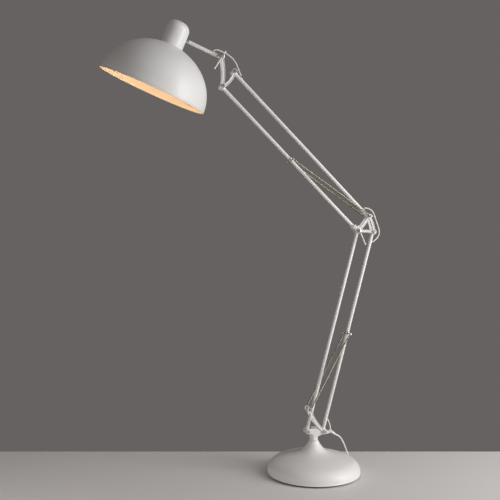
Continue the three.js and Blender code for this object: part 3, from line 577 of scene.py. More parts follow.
def pressed_bar(name, start, end, bow, side, inner, reach=6.0):
    """A curved strip between two pivots, pressed with a rib along each edge."""
    chord = end - start
    control = (start + end) / 2 + sideways(chord).normalized() * (2 * bow)
    half = BAR_WIDTH / 2
    section = [
        (-half, 0.6), (-half + 0.1, 2.2), (-half + 0.6, 2.9), (-half + 1.3, 3.0), (-half + 2.1, 2.5), (-1.2, 1.5),
        (1.2, 1.5), (half - 2.1, 2.5), (half - 1.3, 3.0), (half - 0.6, 2.9), (half - 0.1, 2.2), (half, 0.6),
        (half - 0.5, 0.0), (0.5 - half, 0.0),
    ]
    share = reach / chord.length
    verts = []
    for i in range(BAR_STEPS + 1):
        t = share + (1 - 2 * share) * i / BAR_STEPS
        point = start * (1 - t) ** 2 + control * 2 * t * (1 - t) + end * t * t
        tangent = ((control - start) * (1 - t) + (end - control) * t).normalized()
        verts += [point + sideways(tangent) * wide + FAR * side * (inner + high) for wide, high in section]
    return build(name, verts, skin(BAR_STEPS + 1, len(section)), 50)


EYE_OUTLINE = [
    (3.4, 0.0), (8.1, 0.0), (8.5, 0.5), (8.5, 2.3), (8.0, 3.0), (7.0, 3.15), (6.4, 2.8), (6.2, 2.5), (3.6, 2.5),
    (3.4, 2.2), (3.4, 0.0),
]


def cheek(name, bars, side, inner=CHEEK_INSIDE):
    """Pressed strips and the bossed eyes they meet at, as one piece."""
    pivots = []
    for point in [point for bar in bars for point in bar[:2]]:
        if not any((point - known).length < 0.1 for known in pivots):
            pivots.append(point)
    strips = [pressed_bar(f"{name}_bar{i}", *bar, side, inner) for i, bar in enumerate(bars)]
    eyes = [lathe("eye", EYE_OUTLINE, placed((at.x, side * inner, at.z), FAR * side), 48, 50) for at in pivots]
    first, *others = strips + eyes
    first.name = name
    return carve(first, others, "UNION", 50)


# ---- bottom bracket

CASTING_OUTLINE = [
    (-22, 130), (-10, 129), (8, 119), (20, 124.5), (36, 127), (49, 128), (52, 131), (50, 134.5),
    (40, 140.5), (30, 145), (14, 147), (-22, 146.5),
]
BRACKET_TOP = 147
SLOTS = ((-60, -8.5), (20, 60))
SLOT_HEIGHTS = (127.4, 180)
SWIVEL_COLLAR = [(0, 106.9), (14, 106.9), (14, BRACKET_TOP), (0, BRACKET_TOP)]


def slab(name, outline, y_from, y_to):
    """A plate in the arm plane from an outline in x and z."""
    verts = [(x, y, z) for y in (y_from, y_to) for x, z in outline]
    return build(name, verts, skin(2, len(outline)))


def block(name, x, y, z):
    return slab(name, [(x[0], z[0]), (x[1], z[0]), (x[1], z[1]), (x[0], z[1])], *y)


def make_bottom_bracket():
    half = CHEEK_OUTSIDE
    bodies = [
        slab("plate", [tuple(p) for p in rounded(CASTING_OUTLINE, 3)], -half, half),
        across("front_eye", LOWER_FRONT_PIVOT, -half, half, EYE_RADIUS, segments=48),
        across("rear_eye", LOWER_REAR_PIVOT, -half, half, EYE_RADIUS, segments=48),
    ]
    casting = carve(lathe("bracket_casting", SWIVEL_COLLAR), bodies, "UNION")
    slots = [block("slot", x, (-CHEEK_INSIDE, CHEEK_INSIDE), SLOT_HEIGHTS) for x in SLOTS]
    casting = cast(carve(casting, slots), voxel=0.7, smoothing=5)
    finish_piece(casting, BRACKET, "bracket", "bracket_paint", "swivel_bracket")
    inner = CHEEK_OUTSIDE + 0.3
    for side, name in ((-1, "near"), (1, "far")):
        arm = cheek(f"spring_arm_plate_{name}", [(LOWER_REAR_PIVOT, SPRING_ANCHOR, -6)], side, inner)
        finish_piece(arm, BRACKET, "bracket", "bracket_paint", f"spring_arm_{name}")
        finish_piece(stud(f"spring_stud_{name}", SPRING_ANCHOR, side, inner - 1), ZINC, "bracket", "zinc_steel")
    bolt("front_pivot_screw", LOWER_FRONT_PIVOT, half, "bracket", "front_pivot_bolt")
    bolt("rear_pivot_screw", LOWER_REAR_PIVOT, SPRING_ARM_OUTSIDE, "bracket", "rear_pivot_bolt")
    clip = across("cord_clip_barrel", middle("cord_clip"), -5.5, 5.5, 5.5, 1.2, 1.2, 32)
    finish_piece(clip, NYLON, "bracket", "nylon", "cord_clip")


# ---- arm tubes

SLEEVE = [(0, 5.6), (7.1, 5.6), (6.7, 7.6), (6.1, 9.2), (5.75, 11), (5.5, 13), (0, 13)]
GROMMET = [(2.1, 0), (3.9, 0), (4.0, 0.9), (3.6, 1.5), (2.8, 1.7), (2.2, 1.4), (2.1, 0)]
SPLIT_COLLAR = [
    (TUBE_RADIUS + 0.1, 0), (7.7, 0), (8.4, 0.6), (8.5, 1.4), (8.5, 4.6), (7.8, 5.2), (7.8, 6.8), (8.5, 7.4),
    (8.5, 10.6), (8.4, 11.4), (7.7, 12), (TUBE_RADIUS + 0.1, 12), (TUBE_RADIUS + 0.1, 0),
]
COLLAR_SCREW = [(0, 0), (2.4, 0), (2.4, 2.2), (1.2, 2.2), (1.0, 1.2), (0, 1.2)]
BOLT_BORE = 3.4
LOWER_HOLES = (38, (ELBOW_REAR - LOWER_REAR_PIVOT).length - 34)
UPPER_HOLES = (28, (HEAD_REAR - ELBOW_TOP).length - 30)
FORK_INSIDE = 5.9
FORK_BLOCK = (13, 24)


def weld_sleeve(name, point, direction):
    """The thickened root of a tube where it is welded into its bush."""
    return lathe(name, SLEEVE, placed(point, direction), 40, 60)


def bush(name, point, half=BUSH_HALF):
    """The cross bush of a tube, with a bore for its bolt and softened edges."""
    return across(name, point, -half, half, BUSH_RADIUS, BOLT_BORE, 0.8, 48)


def grommet(name, pivot_point, direction, distance, body):
    """The ring that lines a cord hole, on the tube's surface."""
    side = sideways(direction)
    centre = pivot_point + direction * distance + side * (TUBE_RADIUS - 0.6)
    finish_piece(lathe(name, GROMMET, placed(centre, side), 32, 60), NYLON, body, "nylon")


def arm_tube(name, start, end, half_to=BUSH_HALF):
    direction = (end - start).normalized()
    parts = [
        rod(name, start + direction * 4, end - direction * 4, TUBE_RADIUS, segments=48),
        weld_sleeve(name + "_root", start, direction),
        weld_sleeve(name + "_tip", end, -direction),
        bush(name + "_bush_a", start),
        bush(name + "_bush_b", end, half_to),
    ]
    return join(name, *parts)


def bush_rings(name, point, body):
    """White nylon washers between a bush and its cheeks."""
    half = BUSH_HALF - 0.1
    rings = [
        across(name + "_near", point, -half - 0.2, -half + 1.0, BUSH_RADIUS + 0.35, 3.6, 0.3),
        across(name + "_far", point, half - 1.0, half + 0.2, BUSH_RADIUS + 0.35, 3.6, 0.3),
    ]
    finish_piece(join(name, *rings), NYLON, body, "nylon")


def strip_outline(start, end, half):
    """Corners in x and z of a strip along the upper arm, `half` wide on each side."""
    beside = sideways(UPPER_DIRECTION) * half
    return [(corner.x, corner.z) for corner in (start - beside, end - beside, end + beside, start + beside)]


def forked_tube():
    """The upper arm's lower tube, whose end straddles the front tube at the elbow."""
    direction = UPPER_DIRECTION
    near_end, far_end = (ELBOW_FRONT + direction * reach for reach in FORK_BLOCK)
    tube = rod("fork_tube", far_end - direction * 4, HEAD_LOW - direction * 4, TUBE_RADIUS, segments=48)
    half = BUSH_RADIUS - 1
    yoke = slab("fork_yoke", strip_outline(near_end, far_end, half), -BUSH_HALF, BUSH_HALF)
    pieces = [rod("fork_root", near_end, far_end + direction * 6, 6.4, 2.0)]
    for y_from, y_to in ((-BUSH_HALF, -FORK_INSIDE), (FORK_INSIDE, BUSH_HALF)):
        pieces.append(slab("fork_tongue", strip_outline(ELBOW_FRONT, far_end, half), y_from, y_to))
        pieces.append(across("fork_eye", ELBOW_FRONT, y_from, y_to, BUSH_RADIUS, segments=48))
    yoke = carve(yoke, pieces, "UNION")
    yoke = carve(yoke, [across("fork_bore", ELBOW_FRONT, -20, 20, BOLT_BORE)])
    yoke = cast(yoke, voxel=0.45, smoothing=3)
    end = [weld_sleeve("fork_tip", HEAD_LOW, -direction), bush("fork_bush", HEAD_LOW)]
    return join("upper_lower_rod", tube, yoke, *end)


def spring_collar(name, point, direction, body, node):
    """A split collar clamped on a tube, with a grooved stud on each side for the spring hooks."""
    parts = [lathe(name, SPLIT_COLLAR, placed(point - direction * 6, direction), 48, 50)]
    parts += [stud(f"{name}_stud{side}", point, side, 6.5) for side in (-1, 1)]
    normal = sideways(direction)
    parts.append(lathe(name + "_screw", COLLAR_SCREW, placed(point + normal * 7.9, normal), 24))
    finish_piece(join(name, *parts), ZINC, body, "zinc_steel", node)


def make_arms():
    for tube, body in (
        (arm_tube("lower_rear_rod", LOWER_REAR_PIVOT, ELBOW_REAR), "lower_rear"),
        (arm_tube("lower_front_rod", LOWER_FRONT_PIVOT, ELBOW_FRONT, FORK_INSIDE - 0.3), "lower_front"),
        (arm_tube("upper_upper_rod", ELBOW_TOP, HEAD_REAR), "upper_upper"),
        (forked_tube(), "upper_lower"),
    ):
        finish_piece(tube, ENAMEL, body, "white_paint", body + "_tube")
    for i, distance in enumerate(LOWER_HOLES):
        grommet(f"lower_grommet_{i}", LOWER_REAR_PIVOT, LOWER_DIRECTION, distance, "lower_rear")
    for i, distance in enumerate(UPPER_HOLES):
        grommet(f"upper_grommet_{i}", ELBOW_TOP, UPPER_DIRECTION, distance, "upper_upper")
    for name, point, body in (
        ("lower_rear", LOWER_REAR_PIVOT, "lower_rear"),
        ("elbow_rear", ELBOW_REAR, "lower_rear"),
        ("lower_front", LOWER_FRONT_PIVOT, "lower_front"),
        ("elbow_top", ELBOW_TOP, "upper_upper"),
        ("head_rear", HEAD_REAR, "upper_upper"),
        ("head_low", HEAD_LOW, "upper_lower"),
    ):
        bush_rings(name + "_rings", point, body)
    spring_collar("lower_collar", LOWER_COLLAR, LOWER_DIRECTION, "lower_rear", "lower_spring_collar")
    spring_collar("upper_collar", UPPER_COLLAR, UPPER_DIRECTION, "upper_lower", "upper_spring_collar")


# ---- springs

COIL_RADIUS = 2.15
SPRING_WIRE = 0.62
HOOK_RADIUS = 3.1
HOOK_STEPS = 16
FIRST_TURN = 7
LAST_TURN = 9
TURNS = 265
POINTS_PER_TURN = 9


def spring_wire(anchor, collar, y):
    """The wire's line: a hook round the anchor, the coil, and a hook round the collar's stud."""
    along = (collar - anchor).normalized()
    normal = sideways(along)
    length = (collar - anchor).length

    def place(distance, beside, out=0.0):
        return anchor + FAR * y + along * distance + normal * beside + FAR * out

    def hook(distance, first, turn):
        angles = [math.radians(first + turn * i / HOOK_STEPS) for i in range(HOOK_STEPS + 1)]
        return [place(distance + HOOK_RADIUS * math.cos(a), HOOK_RADIUS * math.sin(a)) for a in angles]

    coil = []
    coil_length = length - FIRST_TURN - LAST_TURN
    count = TURNS * POINTS_PER_TURN
    for i in range(count + 1):
        angle = 2 * math.pi * i / POINTS_PER_TURN
        radius = COIL_RADIUS * min(1.0, 0.15 + i / POINTS_PER_TURN, 0.15 + (count - i) / POINTS_PER_TURN)
        coil.append(place(FIRST_TURN + coil_length * i / count, radius * math.cos(angle), radius * math.sin(angle)))
    return [*hook(0, 60, 270), *coil, *hook(length, 150, -270)]


def make_springs():
    for arm, anchor, collar in (("lower", SPRING_ANCHOR, LOWER_COLLAR), ("upper", ELBOW_TOP, UPPER_COLLAR)):
        for side, y in (("near", -SPRING_Y), ("far", SPRING_Y)):
            spring = sweep(f"{arm}_coil_spring_{side}", spring_wire(anchor, collar, y), SPRING_WIRE, 6)
            # The wire's beige tone is a painted reflection.
            spring.data.materials.append(SPRING_PAINTED_REFLECTION)
            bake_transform(spring)
            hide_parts(f"{arm}_spring_{side}", f"{arm}_hook_{side}")


# ---- elbow and head brackets

LEVER_Y = -20
LEVER_LONG = 49
LEVER_SHORT = 18
LEVER_HUB = [
    (0, 0), (6.9, 0), (7.2, 0.5), (7.2, 1.3), (6.2, 1.9), (6.0, 2.3), (6.0, 9.8), (5.6, 10.6), (4.4, 11.2),
    (2.0, 11.7), (0, 11.8),
]
LEVER_BALL = [(0, -1.4), (1.6, -1.1), (2.8, 0), (3.2, 1.6), (2.8, 3.2), (2.2, 4.4), (2.15, 5.2)]


def lever(name, point, direction):
    """A clamp's hub with a T-bar that has a ball on each end."""
    direction = direction.normalized()
    hub = lathe(name + "_hub_turned", LEVER_HUB, placed((point.x, -CHEEK_OUTSIDE - 0.25, point.z), NEAR), 48)
    finish_piece(hub, ZINC, name + "_lever", "zinc_steel", name + "_lever_hub")
    centre = Vector((point.x, LEVER_Y, point.z))
    start, end = centre - direction * LEVER_SHORT, centre + direction * LEVER_LONG
    far_ball = [(radius, (end - start).length - height) for radius, height in reversed(LEVER_BALL)]
    bar = lathe(name + "_lever_rod", LEVER_BALL + far_ball, placed(start, direction), 40, 60)
    finish_piece(bar, ENAMEL, name + "_lever", "white_paint", name + "_lever_bar")


def cheeks(name, bars, body):
    for side, word in ((-1, "near"), (1, "far")):
        plate = cheek(f"{name}_plate_{word}", bars, side)
        finish_piece(plate, BRACKET, body, "bracket_paint", f"{name}_cheek_{word}")


def make_elbow():
    bars = [(ELBOW_FRONT, ELBOW_TOP, 1.5), (ELBOW_TOP, ELBOW_REAR, -3), (ELBOW_FRONT, ELBOW_REAR, -1)]
    cheeks("elbow", bars, "elbow")
    bolt("elbow_clamp_screw", ELBOW_FRONT, CHEEK_OUTSIDE, "elbow", "elbow_clamp_bolt", headed=False)
    bolt("elbow_rear_screw", ELBOW_REAR, CHEEK_OUTSIDE, "elbow", "elbow_rear_bolt")
    parts = [across("elbow_stud_pin", ELBOW_TOP, -15, 15, 2.5)]
    for side in (-1, 1):
        seat = placed((ELBOW_TOP.x, side * CHEEK_OUTSIDE, ELBOW_TOP.z), FAR * side)
        parts += [stud("elbow_stud", ELBOW_TOP, side, 12), lathe("elbow_stud_washer", WASHER, seat, 32)]
    finish_piece(join("elbow_studs", *parts), ZINC, "elbow", "zinc_steel", "elbow_top_pin")
    lever("elbow", ELBOW_FRONT, Vector((20, 0, -45)))


def make_head():
    cheeks("head", [(HEAD_LOW, HEAD_TILT, 4), (HEAD_LOW, HEAD_REAR, 8)], "head_bracket")
    bolt("head_clamp_screw", HEAD_TILT, CHEEK_OUTSIDE, "head_bracket", "head_clamp_bolt", headed=False)
    bolt("head_low_screw", HEAD_LOW, CHEEK_OUTSIDE, "head_bracket", "head_low_bolt")
    bolt("head_rear_screw", HEAD_REAR, CHEEK_OUTSIDE, "head_bracket", "head_rear_bolt")
    lever("head", HEAD_TILT, Vector((-26, 0, -42)))


# ---- shade

SHADE_ARM_RADIUS = 5.7
CAP_RADIUS = 37.5
CAP_FACE = SHADE_AXIS_REACH - CAP_RADIUS
CAP_TOP = 44
CAP_SHOULDER = 26
CAP_STEPS = 16
RIM_RADIUS = 174
RIM_DROP = 185
RIM_ANGLE = 0.035
DOME_HEIGHT = 154
DOME_HOLE = 28
DOME_STEPS = 56
CROWN_ANGLE = math.acos(DOME_HOLE / RIM_RADIUS)
SHADE_WALL = 1.0
CAP_LOW = 0.3 + DOME_HEIGHT * math.sqrt(1 - (CAP_RADIUS / RIM_RADIUS) ** 2) - RIM_DROP
BEAD_ANGLES = [math.radians(72 - 320 * i / 16) for i in range(17)]
RIM_BEAD = [(RIM_RADIUS - 1.3 + 1.9 * math.cos(a), -RIM_DROP + 2.0 + 1.9 * math.sin(a)) for a in BEAD_ANGLES]
CAP_SEAM = [
    (CAP_RADIUS + 0.2, CAP_LOW - 0.6), (CAP_RADIUS + 1.5, CAP_LOW - 0.4), (CAP_RADIUS + 1.6, CAP_LOW + 0.8),
    (CAP_RADIUS + 0.9, CAP_LOW + 1.5), (CAP_RADIUS - 0.1, CAP_LOW + 1.6), (CAP_RADIUS + 0.2, CAP_LOW - 0.6),
]
TOP_SCREW = [(0, 0), (4.8, 0), (5.0, 0.6), (4.4, 1.8), (2.6, 2.5), (0.9, 2.6), (0.8, 1.6), (0, 1.6)]


def along_shade_arm(distance):
    return HEAD_TILT + SHADE_ARM_DIRECTION * distance


def shade_matrix():
    """From the shade's own frame, +Z up its axis and +X back along the arm, to the lamp's frame."""
    up = Matrix.Rotation(SHADE_TURN, 3, SHADE_ARM_DIRECTION) @ sideways(SHADE_ARM_DIRECTION)
    back = -SHADE_ARM_DIRECTION
    matrix = Matrix((back, up.cross(back), up)).transposed().to_4x4()
    matrix.translation = along_shade_arm(SHADE_AXIS_REACH)
    return matrix


def two_sided(obj, centre):
    """Faces that look back at `centre` take the lining, white enamel painted lighter and warmer as a painted glow of
    the bulb, and the others the outer enamel.
    """
    obj.data.materials.clear()
    obj.data.materials.append(SHADE_OUT)
    obj.data.materials.append(SHADE_LINING_PAINTED_GLOW)
    for face in obj.data.polygons:
        face.material_index = int(face.normal.dot(face.center - centre * MM) < 0)


def dome_line(inset):
    """The dome's outline from its rim up to its crown, `inset` mm inside its outer face."""
    angles = [RIM_ANGLE + (CROWN_ANGLE - RIM_ANGLE) * i / DOME_STEPS for i in range(DOME_STEPS + 1)]
    wide, high = RIM_RADIUS - inset, DOME_HEIGHT - inset
    return [(wide * math.cos(a), high * math.sin(a) - RIM_DROP) for a in angles]


def cap_line(inset):
    """The cap's outline from its foot up to the middle of its top, `inset` mm inside its outer face."""
    wide, high, small = CAP_RADIUS - CAP_SHOULDER, CAP_TOP - CAP_SHOULDER, CAP_SHOULDER - inset
    angles = [math.radians(90 * i / CAP_STEPS) for i in range(CAP_STEPS + 1)]
    shoulder = [(wide + small * math.cos(a), high + small * math.sin(a)) for a in angles]
    return [(CAP_RADIUS - inset, CAP_LOW), (CAP_RADIUS - inset, 0), *shoulder, (0, CAP_TOP - inset)]


def make_shade():
    matrix = shade_matrix()
    outside = dome_line(0)
    profile = [*reversed(outside), *RIM_BEAD, *dome_line(SHADE_WALL), outside[-1]]
    dome = lathe("shade_bowl", profile, matrix, 192, 40)
    finish_piece(dome, SHADE_OUT, "shade", "shade_paint", "shade_dome")
    two_sided(dome, matrix @ Vector((0, 0, -RIM_DROP)))
    outer = cap_line(0)
    cap = lathe("shade_cap_cup", [*outer, *reversed(cap_line(SHADE_WALL)), outer[0]], matrix, 128, 40)
    hole = rod("cap_hole", along_shade_arm(CAP_FACE - 12), along_shade_arm(CAP_FACE + 12), SHADE_ARM_RADIUS + 0.5)
    cap = carve(cap, [hole])
    finish_piece(cap, SHADE_OUT, "shade", "shade_paint", "shade_cap")
    two_sided(cap, matrix @ Vector((0, 0, 0)))
    finish_piece(lathe("cap_seam_bead", CAP_SEAM, matrix, 128, 50), SHADE_OUT, "shade", "shade_paint")
    top = lathe("cap_top_screw", TOP_SCREW, matrix @ Matrix.Translation((0, 0, CAP_TOP - 0.2)), 32)
    finish_piece(top, ZINC, "shade", "zinc_steel")
    make_lampholder(matrix)
    make_shade_arm()


def make_lampholder(matrix):
    ribs = []
    for i in range(12):
        height = -46 - i * 3.6
        crest, groove = 17.9 - 0.07 * i, 17.2 - 0.07 * i
        ribs += [(crest, height), (crest, height - 2.4), (groove, height - 2.8), (groove, height - 3.3)]
    profile = [
        (0, -12), (14.6, -12), (15.8, -13), (16, -14.5), (16, -31), (17.2, -32), (22, -32.4), (22.6, -33.6),
        (22.6, -38), (22, -39), (17.2, -39.6), (17, -42), (18, -44), *ribs, (16.9, -91.3), (16.2, -92), (14.4, -92),
        (13.7, -91.2), (13.6, -62), (0, -62),
    ]
    holder = lathe("lampholder_body", profile, matrix, 72, 35)
    finish_piece(holder, PHENOLIC, "shade", "lampholder", "lamp_socket")
    globe = [(0, -62.4), (12, -62.4), (13, -63.2), (13, -90), (13.4, -95), (15.4, -100)]
    for i in range(24):
        angle = math.radians(58 - 148 * i / 24)
        globe.append((30 * math.cos(angle), -128 + 30 * math.sin(angle)))
    globe.append((0, -158))
    finish_piece(lathe("bulb_globe", globe, matrix, 64, 60), OPAL, "shade", "bulb_glass", "bulb")


KNUCKLE_NECK = [(0, 4), (7.4, 4), (6.9, 8), (6.3, 10.5), (6.2, 13.6), (5.7, 14.1), (0, 14.1)]
SHADE_NUT = [
    (5.9, 0), (6.8, 0), (7.3, 0.5), (7.3, 2.8), (6.9, 3.2), (6.9, 4.2), (7.3, 4.6), (7.3, 6.9), (6.8, 7.4),
    (5.9, 7.4), (5.9, 0),
]


def make_shade_arm():
    knuckle = [
        across("knuckle", HEAD_TILT, -BUSH_HALF, BUSH_HALF, BUSH_RADIUS + 0.5, BOLT_BORE, 1.0, 56),
        lathe("knuckle_neck", KNUCKLE_NECK, placed(HEAD_TILT, SHADE_ARM_DIRECTION), 48, 50),
        rod("knuckle_spigot", along_shade_arm(13), along_shade_arm(24), 4.2),
    ]
    finish_piece(join("knuckle_turned", *knuckle), ZINC, "shade_arm", "zinc_steel", "head_knuckle")
    start, end = along_shade_arm(14.3), along_shade_arm(SHADE_AXIS_REACH - 20)
    tube = hollow("shade_arm_rod", start, end, SHADE_ARM_RADIUS, 4.5)
    finish_piece(tube, ENAMEL, "shade_arm", "white_paint", "shade_arm_tube")
    grommet("shade_arm_grommet", HEAD_TILT, SHADE_ARM_DIRECTION, 29, "shade_arm")
    nut = lathe("shade_arm_nut", SHADE_NUT, placed(along_shade_arm(CAP_FACE - 8), SHADE_ARM_DIRECTION), 48, 40)
    finish_piece(nut, ZINC, "shade_arm", "zinc_steel", "shade_collar")
    recolour(FLEX, "lower_tube_cord", "upper_tube_cord", "shade_arm_cord")


# ---- cords


def in_plane(points):
    return [Vector((x, 0, z)) for x, z in points]


HEAD_LOOP = [
    (-332.6, 1350.4), (-322, 1354.5), (-306, 1350.5), (-291, 1344.5), (-275, 1334.5), (-260.5, 1318),
    (-251, 1296.5), (-242.4, 1277.2),
]
ELBOW_LOOP = [
    (180.2, 865.2), (195, 863.5), (211.5, 852), (220.5, 829), (231.5, 799), (234, 782), (226.5, 766), (211, 752.5),
]
BASE_LINK = [(49.6, 171), (54, 160), (57.5, 149), (58.5, 138.6)]


def loop_half(name, points):
    """A length of cord between two bodies, which goes back into the object at its far end."""
    cord = sweep(name, points, CORD_RADIUS, 16)
    cord.data.materials.append(FLEX)
    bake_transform(cord)
    return cord


def loop_cord(name, route, node):
    """A bridge of cord over a joint, in two halves that meet on the bracket between them."""
    line = smooth_path(in_plane(route), 2.5)
    half = len(line) // 2
    first = loop_half(name + "_a", line[: half + 1])
    loop_half(name + "_b", line[half:])
    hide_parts(node)


# The mains lead's way as side, back and height: from the bracket's clip over the cover to the floor.
LEAD_ROUTE = [
    (61.6, 16.1, 128.9), (67.3, 19.1, 124.8), (74.9, 27, 118), (85, 39, 110.6), (94.2, 48, 101.4), (103.9, 62, 85),
    (110, 70, 72), (114.8, 78, 60), (121.5, 88, 42), (128.2, 95.2, 23.5), (132.2, 101.4, 13.4), (135.1, 108.9, 6.6),
    (136.2, 117.8, 3.4), (135, 129, 2.8), (129.5, 149, 2.8), (122.5, 170, 2.8), (114.5, 188, 2.8), (103, 204, 2.8),
    (88, 214, 2.8), (73, 217.5, 2.8), (62, 217.5, 2.8), (35, 217.5, 2.8), (26, 217.9, 2.8), (14, 219.6, 2.8),
    (2, 221.8, 2.8), (-10, 223.2, 2.8),
]
COIL_SIDE = -22
COIL_BACK = 190
TAIL_BACK = 162.5
RELIEF_SIDE = 30
RELIEF_HEIGHT = 7
COIL_TURN_END = 2700
# The coil's radius and height change where each range of turned degrees says.
COIL_RADII = [
    (250, 360, 33.5, 28.5), (610, 720, 28.5, 23.5), (1150, 1260, 23.5, 28.5), (1430, 1540, 28.5, 33.5),
    (1970, 2080, 33.5, 28.5), (2230, 2340, 28.5, 23.5),
]
COIL_HEIGHTS = [(890, 1000, 2.8, 7.8), (1700, 1800, 7.8, 12.8), (2490, 2600, 12.8, 17.8)]


def glide(value, start, end):
    """The share of the way from start to end, eased at both."""
    share = min(1.0, max(0.0, (value - start) / (end - start)))
    return share * share * (3 - 2 * share)


def stepped(turned, ranges):
    """A value that glides from one number to the next within each range of degrees."""
    value = ranges[0][2]
    for start, end, _, after in ranges:
        value += (after - value) * glide(turned, start, end)
    return value


def coil_path():
    points = []
    for turned in range(0, COIL_TURN_END + 1, 8):
        angle = math.radians(90 + turned)
        radius = stepped(turned, COIL_RADII)
        place = (COIL_SIDE + radius * math.cos(angle), COIL_BACK + radius * math.sin(angle))
        points.append(behind(*place, stepped(turned, COIL_HEIGHTS)))
    return points


def tail_path():
    """From the top of the coil, over its outer turns and down to the plug."""
    start = COIL_BACK - stepped(COIL_TURN_END, COIL_RADII)
    top = stepped(COIL_TURN_END, COIL_HEIGHTS)
    points = []
    for side in range(COIL_SIDE + 4, RELIEF_SIDE + 7, 4):
        back = start + (TAIL_BACK - start) * glide(side, COIL_SIDE, RELIEF_SIDE + 4)
        points.append(behind(side, back, top + (RELIEF_HEIGHT - top) * glide(side, -4, RELIEF_SIDE + 5)))
    return points


def guard_radius(share):
    """The bend guard tapers and has soft ribs."""
    return 4.1 - 1.3 * share + 0.25 * math.cos(share * 9 * math.pi)


def make_mains():
    route = [behind(*place) for place in LEAD_ROUTE]
    line = smooth_path([*route, *coil_path(), *tail_path()], 2.6)
    lead = sweep("mains_lead", line, MAINS_RADIUS, 16)
    lead.data.materials.append(FLEX)
    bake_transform(lead)
    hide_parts("mains_cord", "mains_coil", "mains_tail")
    tie = make_tie()
    switch = make_switch()
    button = make_button()
    plug, pins = make_plug()
    finish_piece(sweep("lead_bend_guard", line[:9], guard_radius, 24), NYLON, "bracket", "nylon")


def turned_in_view(side, back, height=0.0):
    """From a frame of side, back and height to the lamp's frame."""
    matrix = Matrix((VIEW_SIDE, VIEW_BACK, UP)).transposed().to_4x4()
    matrix.translation = behind(side, back, height)
    return matrix


TIE_ANGLE = math.radians(30)
TIE_REACH = 28.5
TIE_HEIGHT = 7.9
TIE_POINTS = 48
TIE_STRAP = [(-3, 0), (-3, 0.9), (-2.4, 1.2), (2.4, 1.2), (3, 0.9), (3, 0)]


def make_tie():
    """A soft strap round the coil's turns, pressed thin under them."""
    outward = Vector((math.cos(TIE_ANGLE), math.sin(TIE_ANGLE)))
    centre = Vector((COIL_SIDE, COIL_BACK)) + outward * TIE_REACH
    heart = behind(*centre, TIE_HEIGHT)
    tangent = VIEW_SIDE * -outward.y + VIEW_BACK * outward.x
    verts = []
    for wide, high in squared_ring(4, TIE_POINTS):
        point = behind(*(centre + outward * wide * 8.4), max(0.5, TIE_HEIGHT + high * 8.3))
        out = (point - heart).normalized() * (0.2 if point.z < 0.6 else 1)
        verts += [point + tangent * half + out * rise for half, rise in TIE_STRAP]
    tie = build("coil_tie", verts, skin(TIE_POINTS, len(TIE_STRAP), looped=True), 60)
    return finish_piece(tie, FOAM, "base", "cord_pvc")


SWITCH_PLACE = (42, 217.5)
SWITCH_LONG = 25
SWITCH_WIDE = 12
SWITCH_POINTS = 72
# Each ring's height in mm and its share of the full outline.
SWITCH_LEVELS = [
    (0.35, 0.86), (1.55, 0.97), (6.6, 1.0), (6.9, 0.975), (7.3, 0.975), (7.6, 1.0), (11.6, 0.985), (13.2, 0.94),
    (14.2, 0.84),
]


def make_switch():
    """The foot switch: a shell with a waist, softened all over, and a seam round its middle."""
    matrix = turned_in_view(*SWITCH_PLACE)
    verts = []
    for height, scale in SWITCH_LEVELS:
        for c, s in squared_ring(3.2, SWITCH_POINTS):
            long = SWITCH_LONG * c * (1 - (1 - scale) * 0.45)
            wide = SWITCH_WIDE * s * (1 - 0.35 * c**2) * scale
            verts.append(matrix @ Vector((long, wide, height)))
    shell = build("switch_shell", verts, skin(len(SWITCH_LEVELS), SWITCH_POINTS), 30)
    well = rod("switch_well", matrix @ Vector((0, 0, 8)), matrix @ Vector((0, 0, 20)), 7.6, 0.1, 64)
    return finish_piece(carve(shell, [well], creases=30), NYLON, "base", "nylon", "line_switch")


BUTTON = [
    (0, 10.9), (6.6, 10.9), (7.0, 11.3), (7.0, 16.6), (6.7, 17.4), (6.0, 17.9), (4.9, 17.9), (4.4, 17.4),
    (3.2, 17.2), (0, 17.1),
]


def make_button():
    button = lathe("switch_key_cap", BUTTON, turned_in_view(*SWITCH_PLACE), 64, 50)
    return finish_piece(button, NYLON, "switch_key", "nylon", "switch_button")


PLUG_SIDE = 50
PLUG_HEIGHT = 7.3
PLUG_POINTS = 56
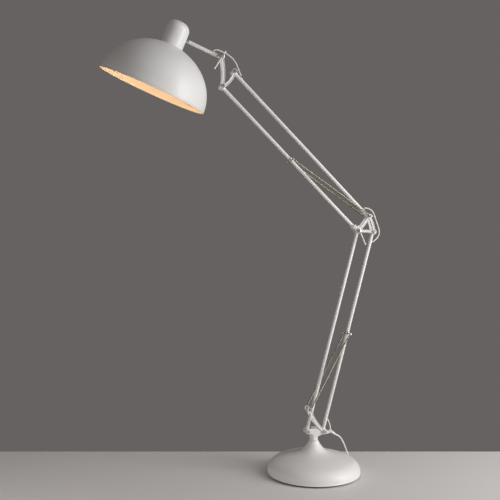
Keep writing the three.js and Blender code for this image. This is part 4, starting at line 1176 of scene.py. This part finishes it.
# Each ring's place along the plug, its half width and its half height, in mm.
PLUG_ROWS = [
    (0.0, 5.4, 4.6), (1.5, 6.6, 5.6), (5, 8.0, 6.2), (9, 10.4, 6.7), (14, 12.3, 6.9), (20, 12.9, 6.95),
    (31, 12.9, 6.95), (33.2, 12.6, 6.7), (34, 11.8, 6.0),
]
PIN = [(0, 0), (2.0, 0), (2.0, 17.5), (1.8, 18.9), (1.1, 19.8), (0, 20)]


def make_plug():
    """The plug with its ribbed guard, and its two pins."""
    matrix = turned_in_view(PLUG_SIDE, TAIL_BACK)
    verts = []
    for along, wide, high in PLUG_ROWS:
        for c, s in squared_ring(4, PLUG_POINTS):
            verts.append(matrix @ Vector((along, wide * c, PLUG_HEIGHT + high * s)))
    body = build("plug_grip", verts, skin(len(PLUG_ROWS), PLUG_POINTS), 40)
    ribs = []
    for i in range(7):
        base, radius = i * 3, 3.1 + 0.3 * i
        ribs += [(radius, base), (radius + 0.15, base + 1.9)]
        ribs += [(radius - 0.45, base + 2.2), (radius - 0.35, base + 2.8)]
    tail_end = placed(matrix @ Vector((-20, 0, RELIEF_HEIGHT)), VIEW_SIDE)
    guard = lathe("plug_guard", [(0, 0), *ribs, (5, 21), (0, 21)], tail_end, 32, 30)
    plug = finish_piece(join("plug_body", body, guard), NYLON, "base", "nylon", "mains_plug")
    roots = [matrix @ Vector((33, side * 9.5, PLUG_HEIGHT)) for side in (-1, 1)]
    pins = [lathe("pin", PIN, placed(root, VIEW_SIDE), 32, 40) for root in roots]
    return plug, finish_piece(join("plug_pins", *pins), BRASS, "base", "zinc_steel")


def make_cords():
    make_mains()
    loop_cord("head_loop_cord", HEAD_LOOP, "head_cord_loop")
    loop_cord("elbow_loop_cord", ELBOW_LOOP, "elbow_cord_loop")
    link = loop_half("base_link_cord", smooth_path(in_plane(BASE_LINK), 2))
    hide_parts("base_cord_link")


make_camera()
make_stage()
make_cords()
make_base()
make_bottom_bracket()
make_arms()
make_springs()
make_elbow()
make_head()
make_shade()
bpy.context.scene.view_settings.view_transform = "Standard"
